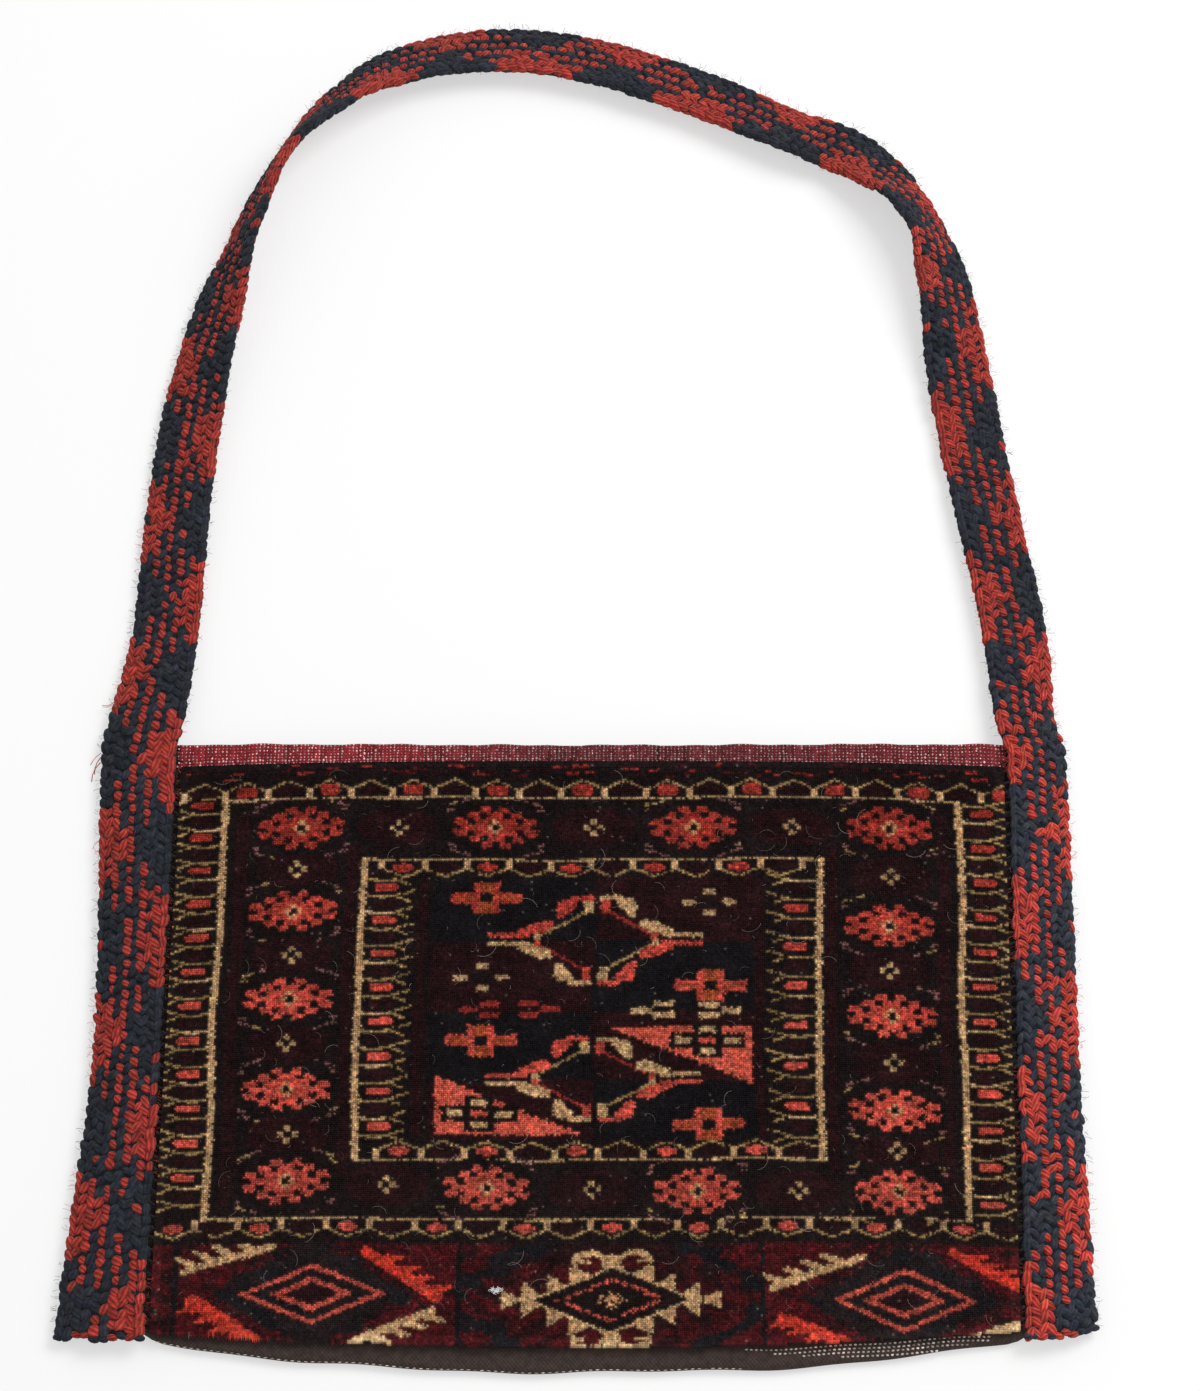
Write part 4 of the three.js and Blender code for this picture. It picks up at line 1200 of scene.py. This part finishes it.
# %% [markdown]
# The band is one braid, and its middle line is the same as the solid's: up the left side, round the loop,
# and down the right. It is written as stations, each with a place, a width, a roll and a lift. Past the
# mouth the band comes down to the table and leans on its outer edge.

# %% Stations of the band
BAND_INNER_X = 168.8
BAND_THICKNESS = 5.0
BAND_SEWN_LIFT = 5.2
BAND_END_ROOM = -0.5
FREE_WIDTH = 28.0
LEFT_WIDTHS = (35.0, 27.5, 32.0)
RIGHT_WIDTHS = (28.2, 25.5, 24.5)
LOOP_RISE = 331.7
SEWN_FADE = 55
LOOP = [
    (0.0055, 0.033, 2), (0.0231, 0.167, 5), (0.0289, 0.301, 9), (0.0403, 0.44, 14),
    (0.0622, 0.578, 31), (0.0979, 0.7175, 59), (0.1394, 0.828, 69), (0.2051, 0.918, 47),
    (0.2792, 0.9725, 27), (0.3925, 0.997, 20), (0.5067, 0.9805, 18), (0.644, 0.926, 17),
    (0.7408, 0.8736, 23), (0.7973, 0.85, 14), (0.837, 0.8174, 25), (0.873, 0.7715, 43),
    (0.8987, 0.7187, 49), (0.9149, 0.6506, 31), (0.9307, 0.515, 9), (0.9392, 0.446, 5),
    (0.9602, 0.301, 9), (0.981, 0.1625, 10), (0.9895, 0.034, 3),
]


def band_stations():
    """Place, width, roll and lift of the band at each station, in millimetres and radians."""
    low_y = float(fold_edge(BAND_INNER_X)) + BAND_END_ROOM
    ys = (low_y, (low_y + MOUTH_Y) / 2, MOUTH_Y)
    left = [(-BAND_INNER_X - w / 2, y, w, 0, BAND_SEWN_LIFT) for w, y in zip(LEFT_WIDTHS, ys)]
    right = [(BAND_INNER_X + w / 2, y, w, 0, BAND_SEWN_LIFT) for w, y in zip(RIGHT_WIDTHS, ys)]
    x0, x1 = left[2][0], right[2][0]
    free = []
    for share, rise, roll in LOOP:
        sewn = 1 - smooth(rise * LOOP_RISE / SEWN_FADE)
        sewn_width = LEFT_WIDTHS[2] if share < 0.5 else RIGHT_WIDTHS[2]
        width = FREE_WIDTH + sewn * (sewn_width - FREE_WIDTH)
        x, y = x0 + share * (x1 - x0), MOUTH_Y + rise * LOOP_RISE
        free.append((x, y, width, math.radians(roll), sewn * BAND_SEWN_LIFT))
    return np.array([*left, *free, *right[::-1]])


stations = band_stations()
print("stations:", len(stations))

# %% [markdown]
# A smooth curve goes through the stations. It passes through every one and doesn't swing out between
# them, because the speed on each stretch follows the root of its length.

# %% The middle line
LINE_STEPS = 60


def curve_through(points):
    """Points of a smooth curve through the given ones, with the station number that each belongs to."""
    ends = np.vstack([2 * points[0] - points[1], points, 2 * points[-1] - points[-2]])
    line, number = [], []
    for i in range(len(points) - 1):
        p0, p1, p2, p3 = ends[i:i + 4]
        d0, d1, d2 = (math.sqrt(np.linalg.norm(q - p)) for p, q in ((p0, p1), (p1, p2), (p2, p3)))
        t1 = ((p1 - p0) / d0 - (p2 - p0) / (d0 + d1) + (p2 - p1) / d1) * d1
        t2 = ((p2 - p1) / d1 - (p3 - p1) / (d1 + d2) + (p3 - p2) / d2) * d1
        square = 3 * (p2 - p1) - 2 * t1 - t2
        cube = 2 * (p1 - p2) + t1 + t2
        for k in range(LINE_STEPS):
            t = k / LINE_STEPS
            line.append(p1 + t1 * t + square * t**2 + cube * t**3)
            number.append(i + t)
    return np.array([*line, points[-1]]), np.array([*number, len(points) - 1])


line, line_number = curve_through(stations[:, :2])
line_length = np.r_[0, np.cumsum(np.linalg.norm(np.diff(line, axis=0), axis=1))]
BAND_LENGTH = float(line_length[-1])
print("band length:", round(BAND_LENGTH), "mm")

# %% [markdown]
# Every yarn and fibre of the band is placed through two helpers. The first gives the middle of the band
# and its three directions at a length along it. The second gives a point from a length, a share of the
# width and a height, and lets the outer edge droop where the band is sewn on. A curve with a bevel would
# make a band too, but it couldn't droop by such a rule.

# %% Places on the band
EDGE_LIFT = 0.6


def line_at(s):
    """Place of the middle line in plan, at a length s in millimetres."""
    return np.array([np.interp(s, line_length, line[:, k]) for k in (0, 1)])


def band_frame(s):
    """Middle point, along, across (outwards), out of the face, width and lift, at a length s."""
    t = float(np.interp(s, line_length, line_number))
    i = min(len(stations) - 2, int(t))
    f = smooth(t - i)
    width, roll, lift = stations[i, 2:] * (1 - f) + stations[i + 1, 2:] * f
    here = line_at(s)
    if here[1] < MOUTH_Y:
        here[0] = math.copysign(BAND_INNER_X + width / 2, here[0])
    ahead = line_at(s + 0.5) - line_at(s - 0.5)
    along = Vector((*ahead, 0)).normalized()
    out = Vector((-along.y, along.x, 0))
    up = Vector((0, 0, 1))
    across = out * math.cos(roll) - up * math.sin(roll)
    face = up * math.cos(roll) + out * math.sin(roll)
    middle = lift + width / 2 * math.sin(roll) + BAND_THICKNESS / 2 * math.cos(roll)
    return Vector((*here, middle)), along, across, face, width, lift


def band_point(s, v, level):
    """A point at a length, a share of the width from the inner edge, and a height over the middle."""
    middle, _, across, face, width, lift = band_frame(s)
    droop = max(0.0, lift - EDGE_LIFT) * v**3
    return middle + across * ((v - 0.5) * width) + face * level - Vector((0, 0, droop))


print("top of the loop:", [round(c) for c in band_point(BAND_LENGTH / 2, 0.5, 0)], "mm")

# %% [markdown]
# Under the floats lies the body of the braid, a flat band with rounded edges, painted dark as the shade
# that shows in the gaps between the floats. It is a grid bent along the middle line, with its thickness
# drawn in towards the edges.

# %% The body of the braid
BODY_STEPS = 260
BODY_CELLS = 8
END_ROUND = 5.0
BODY_INSET = 1.0
BODY_MARGIN, BODY_SPAN = 0.03, 0.94
BODY_END = 1.5
BODY_THINNING = 0.75
BODY_SINK = 0.4


def band_body(material):
    """A flat band bent along the middle line, thinner towards its edges."""
    bm = bmesh.new()
    bm.loops.layers.uv.new("OFBake")
    bmesh.ops.create_grid(bm, x_segments=BODY_STEPS, y_segments=BODY_CELLS, size=0.5, calc_uvs=True)
    made = bmesh.ops.extrude_face_region(bm, geom=bm.faces[:] + bm.edges[:], use_keep_orig=True)["geom"]
    upper = {part for part in made if isinstance(part, bmesh.types.BMVert)}
    for vert in bm.verts:
        v = BODY_MARGIN + BODY_SPAN * (vert.co.y + 0.5)
        s = BODY_END + (vert.co.x + 0.5) * (BAND_LENGTH - 2 * BODY_END - END_ROUND * v**3)
        half = (BAND_THICKNESS / 2 - BODY_INSET) * (1 - BODY_THINNING * abs(2 * v - 1) ** 6)
        vert.co = band_point(s, v, half if vert in upper else -half - BODY_SINK) * MM
    bmesh.ops.recalc_face_normals(bm, faces=bm.faces[:])
    return finish_piece("band_body", bm, material)


# Painted shade: the body's dark colour stands for the shade in the gaps between the floats.
BAND_CORE_SHADE = wool_material("braid_core_shade", sheen=0.1, mottle=0.3, colour="#151b24")
body = band_body(BAND_CORE_SHADE)
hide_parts("shoulder_strap")

# %% [markdown]
# On top of it lie the floats, in ten columns. The yarns are red and navy. Along each edge, red and navy
# wedges take turns, and the two edges are out of step. Between the wedges every second column is red, so
# it shows as a row of short red dots on navy.

# %% The plan of the braid
WEDGE_STARTS = [
    -45, 30, 102, 180, 258, 328, 402, 464, 526, 597,
    671, 750, 826, 886, 966, 1042, 1108, 1187, 1268, 1345,
]
WEDGE_DEPTH = 0.47
WEDGE_PEAK, WEDGE_REACH = 0.26, 0.31


def braid_yarn(s, v, column):
    """Whether the yarn is red there, and whether it is one of the dots between the wedges."""
    phase = float(np.interp(s, WEDGE_STARTS, range(len(WEDGE_STARTS)))) % 1
    outer_red = phase < 0.5
    depth = WEDGE_DEPTH * (1 - abs(phase % 0.5 - WEDGE_PEAK) / WEDGE_REACH)
    if 1 - v < depth:
        return outer_red, False
    if v < depth:
        return not outer_red, False
    return column % 2 == 1, column % 2 == 1


print("wedges along each edge:", len(WEDGE_STARTS) - 1)

# %% [markdown]
# The columns slant in turn to either side, so that two columns make a plait. A float is a stretched ball
# of yarn: long along its slant, a little wider than its column, so that neighbours close up, and lower at
# the edges of the band, where it also turns outwards. A few floats have strayed to the other colour, more
# of them on the right side. The floats of the right side are painted lighter, as if more light fell on
# them from the right.

# %% Places of the floats
BAND_COLUMNS = 10
FLOAT_PITCH = 4.35
# Painted light: floats past the start of the right side are made lighter, as if lit from the right.
RIGHT_SIDE_LIGHT = 0.45
RIGHT_SIDE_START = 1000
RIGHT_SIDE_RAMP = 150
EDGE_SLANT, MIDDLE_SLANT = 20, 38
FLOAT_MARGIN, FLOAT_SPAN = 0.065, 0.87
FLOAT_SINK, EDGE_SINK = 1.15, 0.9
FLOAT_BREADTH = 0.64
FLOAT_SIZE, DOT_SIZE = (3.1, 1.35), (2.3, 1.45)
ASTRAY, RIGHT_ASTRAY = 0.025, 0.07


def float_places(face_way, first, last):
    """Matrices and colours of the floats on one face of the band."""
    found = []
    for k in range(round((last - first) / FLOAT_PITCH)):
        for c in range(BAND_COLUMNS):
            s = first + (k + 0.5 + 0.5 * (c // 2 % 2)) * FLOAT_PITCH + 0.4 * RNG.standard_normal()
            v = FLOAT_MARGIN + FLOAT_SPAN * c / (BAND_COLUMNS - 1) + 0.008 * RNG.standard_normal()
            if s > last - 1 - END_ROUND * v**3 * (s > RIGHT_SIDE_START):
                continue
            stray = RNG.random() < (RIGHT_ASTRAY if s > RIGHT_SIDE_START else ASTRAY)
            red, dot = braid_yarn(s, v, c)
            red = red != stray
            _, along, across, face, width, _ = band_frame(s)
            edge = abs(2 * v - 1) ** 4
            spot = band_point(s, v, face_way * (BAND_THICKNESS / 2 - FLOAT_SINK - EDGE_SINK * edge))
            steep = EDGE_SLANT if c in (0, BAND_COLUMNS - 1) else MIDDLE_SLANT
            slant = math.radians((steep if c % 2 else -steep) + 9 * RNG.standard_normal())
            forward = along * math.cos(slant) + across * math.sin(slant)
            normal = (face * face_way + across * (0.9 * (2 * v - 1) ** 5)).normalized()
            sideways = normal.cross(forward).normalized()
            forward = sideways.cross(normal)
            broad = width / BAND_COLUMNS
            size = 1 + 0.1 * RNG.standard_normal()
            length, height = DOT_SIZE if dot else FLOAT_SIZE
            turned = Matrix((forward, sideways, normal)).transposed()
            scale = Matrix.Diagonal(Vector((length, FLOAT_BREADTH * broad, height)) * size)
            place = (turned @ scale).to_4x4()
            place.translation = spot
            # Painted light: lighter along the right side of the band.
            side_light = 1 + RIGHT_SIDE_LIGHT * smooth((s - RIGHT_SIDE_START) / RIGHT_SIDE_RAMP)
            found.append((Matrix.Scale(MM, 4) @ place, red, side_light))
    return found


print("rows of floats:", round(BAND_LENGTH / FLOAT_PITCH))

# %% [markdown]
# Both ends of the band are bound with a row of yarns turned across it. Without it the columns would stop
# short and show the dark body. The yarns are stamped like the floats, only turned and made rounder.

# %% The bound ends
END_YARN = (2.4, 1.5, 1.5)
END_SINK = 1.6


def end_places(s, inward):
    """Matrices and colours of the yarns that are turned across an end of the band, to bind it."""
    found = []
    for c in range(BAND_COLUMNS):
        v = 0.05 + 0.9 * c / (BAND_COLUMNS - 1)
        _, along, across, face, _, _ = band_frame(s)
        tilt = 0.25 * RNG.standard_normal()
        forward = (across + along * tilt).normalized()
        normal = (face - along * inward * 0.6).normalized()
        sideways = normal.cross(forward).normalized()
        turned = Matrix((forward, sideways, sideways.cross(forward) * -1)).transposed()
        place = (turned @ Matrix.Diagonal(Vector(END_YARN))).to_4x4()
        here = s - END_ROUND * v**3 * (inward < 0)
        spot = band_point(here, v, BAND_THICKNESS / 2 - END_SINK)
        place.translation = spot + along * 0.5 * RNG.standard_normal()
        # Painted light: the yarns of the right end are made lighter.
        found.append((Matrix.Scale(MM, 4) @ place, RNG.random() < 0.6, 1 + RIGHT_SIDE_LIGHT * (s > RIGHT_SIDE_START)))
    return found


print("yarns across an end:", BAND_COLUMNS)

# %% [markdown]
# The ball of yarn is a low sphere with a map of its own, on which the ply group draws the twist. One
# piece is stamped from it for each yarn, on the upper face and on the underside. The underside has floats
# only where the band lies free. It has few faces, because it is repeated thousands of times.

# %% The floats
def float_template(segments, rings):
    """A ball of yarn with its poles at its two ends."""
    bm = bmesh.new()
    bm.loops.layers.uv.new("float_map")
    bmesh.ops.create_uvsphere(bm, u_segments=segments, v_segments=rings, radius=1, calc_uvs=True)
    bmesh.ops.rotate(bm, verts=bm.verts, matrix=Matrix.Rotation(math.pi / 2, 3, "Y"))
    return bm


def floats(name, template, found, wanted, hexcode, material):
    """A piece from the floats of one yarn, each with its own tone."""
    chosen = [(place, side_light) for place, red, side_light in found if red == wanted]
    piece = finish_piece(name, stamped(template, [place for place, side_light in chosen]), material)
    tones = np.clip(1 + 0.12 * RNG.standard_normal((len(chosen), 1)), 0.6, 1.5)
    side_lights = np.array([[side_light] for place, side_light in chosen])
    hue = 1 + 0.05 * RNG.standard_normal((len(chosen), 3))
    # The last factor is painted light on the right side of the band.
    tint(piece, np.clip(np.array(linear(hexcode)) * tones * side_lights * hue, 0, 1))
    return piece


NAVY_YARN = "#2a2d35"
RED_YARN = "#b43d33"
BAND_WOOL = wool_material("braid_wool", mottle=0.4, fibre_scale=3400, bump=1.0, relief=ply, groove_shade=0.55)
FADED_WOOL = wool_material(
    "braid_wool_worn", sheen=0.06, mottle=0.5, fibre_scale=3400, relief=ply, groove_shade=0.35
)
top_float = float_template(8, 5)
top_places = float_places(1, 1.0, BAND_LENGTH - 1)
top_places += end_places(1.2, 1)
top_places += end_places(BAND_LENGTH - 1.2, -1)
band_red = floats("band_red", top_float, top_places, True, RED_YARN, BAND_WOOL)
band_navy = floats("band_navy", top_float, top_places, False, NAVY_YARN, FADED_WOOL)
SEWN_LENGTH = 250
under_float = float_template(6, 4)
under_places = float_places(-1, SEWN_LENGTH, BAND_LENGTH - SEWN_LENGTH)
under_red = floats("band_under_red", under_float, under_places, True, RED_YARN, BAND_WOOL)
under_navy = floats("band_under_navy", under_float, under_places, False, NAVY_YARN, FADED_WOOL)
print("floats:", len(top_places), "over and", len(under_places), "under")

# %% [markdown]
# The bag is sewn to the band with a dark whip stitch along both seams. A stitch is a small stamped float
# that lies across the seam.

# %% Seam stitches
STITCH_WOOL = wool_material("sewing_thread", mottle=0.2, bump=0.6, relief=ply)
STITCH_PITCH = 4.6
SEAM_X = 167.9
SEAM_LOW, SEAM_TOP = -108, 125
SEAM_RISE = 3.4
STITCH_SIZE = (2.3, 0.5, 0.55)
stitch_float = float_template(6, 4)


def laid(spot, angle, size):
    """A float on the cloth: its middle, its direction in plan, and its half sizes, all in millimetres."""
    turn = Matrix.Rotation(angle, 3, "Z").to_quaternion()
    return Matrix.LocRotScale(Vector(spot) * MM, turn, Vector(size) * MM)


def whip_stitches(name, side):
    """The stitches of one seam, side is -1 on the left."""
    places = []
    for y in np.arange(SEAM_LOW, SEAM_TOP, STITCH_PITCH):
        jitter = 0.25 * RNG.standard_normal(3)
        spot = (side * SEAM_X + jitter[0], y + jitter[1], 2 * CLOTH + SEAM_RISE)
        places.append(laid(spot, side * 0.5 + 0.3 * jitter[2], STITCH_SIZE))
    piece = finish_piece(name, stamped(stitch_float, places), STITCH_WOOL)
    tint(piece, np.array(linear("#241c1d")) * (1 + 0.2 * RNG.standard_normal((len(places), 1))))
    return piece


seam_left = whip_stitches("seam_stitches_left", -1)
seam_right = whip_stitches("seam_stitches_right", 1)
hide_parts("seam_thread_left")
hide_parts("seam_thread_right")
print("stitches on a seam:", len(np.arange(SEAM_LOW, SEAM_TOP, STITCH_PITCH)))

# %% [markdown]
# At the right of the fold the end of the weave shows its warps as four rows of pale points. Along the
# rest of the fold runs a paler running stitch. Both follow the cloth round its turn.

# %% Marks on the fold
WARP_ROWS = ((62, 156), (72, 154), (84, 148), (98, 140))
WARP_GAP, ROW_GAP = 1.9, 1.5
FIRST_ROW, LAST_TURN = 0.8, -2.2
RUNNING_PITCH = 2.6
RUNNING_TURN = 0.66
fold_marks = []
for k, (x0, x1) in enumerate(WARP_ROWS):
    for x in np.arange(x0, x1, WARP_GAP):
        over = pile_edge(x) - fold_edge(x) - FOLD_ROUND - FIRST_ROW - ROW_GAP * k
        if over < LAST_TURN:
            continue
        bend = math.asin(min(0.0, over) / FOLD_ROUND) * FOLD_CELLS / math.pi
        step = BACK_CELLS + FOLD_CELLS + max(0.0, over) * FRONT_CELLS / (MOUTH_Y - FOLD_Y) + bend
        spot = cloth_place((x / CLOTH_HALF + 1) / 2, step) + Vector((0.95 * (k % 2), -0.1, 0.15))
        fold_marks.append(laid(spot, 0.2 * RNG.standard_normal(), (0.62, 0.42, 0.42)))
for x in np.arange(-164, 60, RUNNING_PITCH):
    spot = cloth_place((x / CLOTH_HALF + 1) / 2, BACK_CELLS + FOLD_CELLS * RUNNING_TURN)
    spot += Vector((0, -0.1, 0.1))
    fold_marks.append(laid(spot, 0.1 * RNG.standard_normal(), (0.75, 0.22, 0.25)))
fold_warps = finish_piece("fold_warps", stamped(stitch_float, fold_marks), PALE_WARP)
mark_tones = np.array(linear("#b8aca2")) * (1 + 0.3 * RNG.standard_normal((len(fold_marks), 1)))
tint(fold_warps, np.clip(mark_tones, 0.02, 1))

# %% [markdown]
# Wool sheds, and its loose fibres soften every outline. A fibre is a three-sided tube swept round part of
# a circle with spin, so it is bent a little. Its ends are closed, and it is stamped many times. Blender's
# hair would be lost in the export, so a fibre is a mesh too.

# %% A fibre
FIBRE_WOOL = wool_material("loose_fibre", mottle=0.1)


def fibre_template(turn, thickness, steps):
    """A bent fibre of length 1 that starts at the origin and leaves along +X."""
    bm = bmesh.new()
    radius = 1 / turn
    ring = bmesh.ops.create_circle(bm, segments=3, radius=thickness)["verts"]
    bmesh.ops.rotate(bm, verts=ring, matrix=Matrix.Rotation(math.pi / 2, 3, "Y"))
    geom = bm.verts[:] + bm.edges[:]
    bmesh.ops.spin(bm, geom=geom, cent=(0, radius, 0), axis=(0, 0, 1), angle=turn, steps=steps)
    bmesh.ops.holes_fill(bm, edges=bm.edges[:])
    bmesh.ops.recalc_face_normals(bm, faces=bm.faces[:])
    return bm


def fibre_place(spot, direction, roll, length):
    """Matrix of a fibre that leaves a spot in a direction."""
    turn = direction.to_track_quat("X", "Z") @ Matrix.Rotation(roll, 3, "X").to_quaternion()
    return Matrix.LocRotScale(spot * MM, turn, Vector((1, 1, 1)) * length * MM)


print("fibre finish:", FIBRE_WOOL.name)

# %% [markdown]
# Short fibres stand out of the braid, most of all along its edges, in the colour of the yarn they come
# from. At the left of the mouth a few longer ends have worked loose.

# %% Fuzz of the braid
FUZZ = 2600
EDGE_SHARE = 0.6
LOOSE_ENDS = ((238, 9), (240, 8), (241.5, 7), (262, 5), (263, 6), (205, 5))


def band_fibres(count):
    """Fibres all along the band, and the loose ends."""
    places, tones = [], []
    for _ in range(count):
        s = RNG.uniform(3, BAND_LENGTH - 3)
        edge = RNG.random() < EDGE_SHARE
        v = RNG.choice((0.0, 1.0)) if edge else RNG.random()
        _, _, across, face, _, _ = band_frame(s)
        spot = band_point(s, v, BAND_THICKNESS / 2 - (1.6 if edge else 0.3))
        wild = Vector(RNG.standard_normal(3))
        outward = across * (2 * v - 1) * (1.6 if edge else 0.4) + face * (0.5 if edge else 1)
        direction = (outward + 0.7 * wild).normalized()
        if spot.z + direction.z * 3 < 0.2:
            direction.z = abs(direction.z)
        places.append(fibre_place(spot, direction, RNG.uniform(0, math.tau), RNG.uniform(1.2, 3.2)))
        tones.append(linear(RED_YARN if braid_yarn(s, v, int(v * 9.99))[0] else NAVY_YARN))
    for s, length in LOOSE_ENDS:
        _, along, across, _, _, _ = band_frame(s)
        direction = (across - along * 0.9 + 0.3 * Vector(RNG.standard_normal(3))).normalized()
        direction.z = abs(direction.z) * 0.3
        places.append(fibre_place(band_point(s, 1.0, 0), direction, RNG.uniform(0, math.tau), length))
        tones.append(linear(RED_YARN))
    whole = stamped(fibre_template(1.1, 0.024, 3), places)
    piece = finish_piece("band_fibres", whole, FIBRE_WOOL)
    tint(piece, np.clip(np.array(tones) * (1 + 0.3 * RNG.random((len(tones), 1))), 0, 1))
    return piece


fuzz = band_fibres(FUZZ)

# %% [markdown]
# Lint lies on the pile: fine pale hairs, short flecks, and one tuft of white fluff on the skirt, which is
# many short fibres in one place.

# %% Lint on the pile
LINT_RISE = 0.5


def pile_lint(
    name, count, lengths, template, hexcode, middle=(0, 3), spread=(160, 111), dimmest=0.3
):
    """Fibres that lie on the pile, spread evenly round a middle."""
    places = []
    for _ in range(count):
        x, y = (m + r * RNG.uniform(-1, 1) for m, r in zip(middle, spread))
        spot = Vector((x, y, float(cloth_top(x, y)) + PILE_FOOT + TUFT_HEIGHT + LINT_RISE))
        angle = RNG.uniform(0, math.tau)
        direction = Vector((math.cos(angle), math.sin(angle), 0.04))
        places.append(fibre_place(spot, direction, 0, RNG.uniform(*lengths)))
    piece = finish_piece(name, stamped(template, places), FIBRE_WOOL)
    tint(piece, np.array(linear(hexcode)) * (dimmest + (1 - dimmest) * RNG.random((count, 1))))
    return piece


hairs = pile_lint("pile_hairs", 230, (2.5, 10), fibre_template(1.9, 0.007, 6), "#a89c92")
flecks = pile_lint("pile_flecks", 420, (0.6, 2.0), fibre_template(1.2, 0.03, 2), "#b0a29a")
fluff = pile_lint(
    "pile_fluff", 70, (0.7, 1.8), fibre_template(2.4, 0.06, 4), "#ffffff",
    middle=(-34.2, -97), spread=(1.7, 0.8), dimmest=0.75,
)

# %% [markdown]
# The stage is a plain pale floor. For the camera alone it glows a little, so that it stays near white
# while it keeps the bag's soft shadow.

# %% The floor
FLOOR_SIZE = 40
FLOOR_GREY = 0.92
FLOOR_GLOW = 0.55
floor_bm = bmesh.new()
bmesh.ops.create_grid(floor_bm, x_segments=1, y_segments=1, size=FLOOR_SIZE)
floor_mesh = bpy.data.meshes.new("floor")
floor_bm.to_mesh(floor_mesh)
floor_bm.free()
floor = bpy.data.objects.new("floor", floor_mesh)
bpy.context.collection.objects.link(floor)
FLOOR_PAINT = bpy.data.materials.new("floor_paint")
FLOOR_PAINT.use_nodes = True
tree = FLOOR_PAINT.node_tree
paint = tree.nodes["Principled BSDF"]
paint.inputs["Base Color"].default_value = (FLOOR_GREY, FLOOR_GREY, FLOOR_GREY, 1)
paint.inputs["Roughness"].default_value = 0.9
paint.inputs["Specular IOR Level"].default_value = 0
glow = node(tree, "ShaderNodeEmission")
rays = node(tree, "ShaderNodeLightPath")
glow_share = node(tree, "ShaderNodeMath", operation="MULTIPLY")
glow_share.inputs[1].default_value = FLOOR_GLOW
mix = node(tree, "ShaderNodeMixShader")
tree.links.new(rays.outputs["Is Camera Ray"], glow_share.inputs[0])
tree.links.new(glow_share.outputs[0], mix.inputs[0])
tree.links.new(paint.outputs[0], mix.inputs[1])
tree.links.new(glow.outputs[0], mix.inputs[2])
tree.links.new(mix.outputs[0], tree.nodes["Material Output"].inputs["Surface"])
floor_mesh.materials.append(FLOOR_PAINT)
print("floor across, in metres:", 2 * FLOOR_SIZE)

# %% [markdown]
# One large lamp stands high on the right, and the even world fills the rest. Together they are at a level
# at which a colour renders about as it is written.

# %% The light
WORLD_STRENGTH = 0.6
KEY_POWER = 24
KEY_SIZE = 1.0
KEY_PLACE = (0.95, 0.75, 1.5)
KEY_TARGET = Vector((0, 0.1, 0))
world = bpy.data.worlds.new("studio")
world.use_nodes = True
world.node_tree.nodes["Background"].inputs["Color"].default_value = (1, 1, 1, 1)
world.node_tree.nodes["Background"].inputs["Strength"].default_value = WORLD_STRENGTH
bpy.context.scene.world = world

key_data = bpy.data.lights.new("key", "AREA")
key_data.energy = KEY_POWER
key_data.size = KEY_SIZE
key = bpy.data.objects.new("key", key_data)
key.location = KEY_PLACE
key.rotation_euler = (key.location - KEY_TARGET).to_track_quat("Z", "Y").to_euler()
bpy.context.collection.objects.link(key)
print("lamp power in watts:", KEY_POWER, "world strength:", WORLD_STRENGTH)

# %% [markdown]
# Last, the view layer is updated.

# %% The end
bpy.context.view_layer.update()
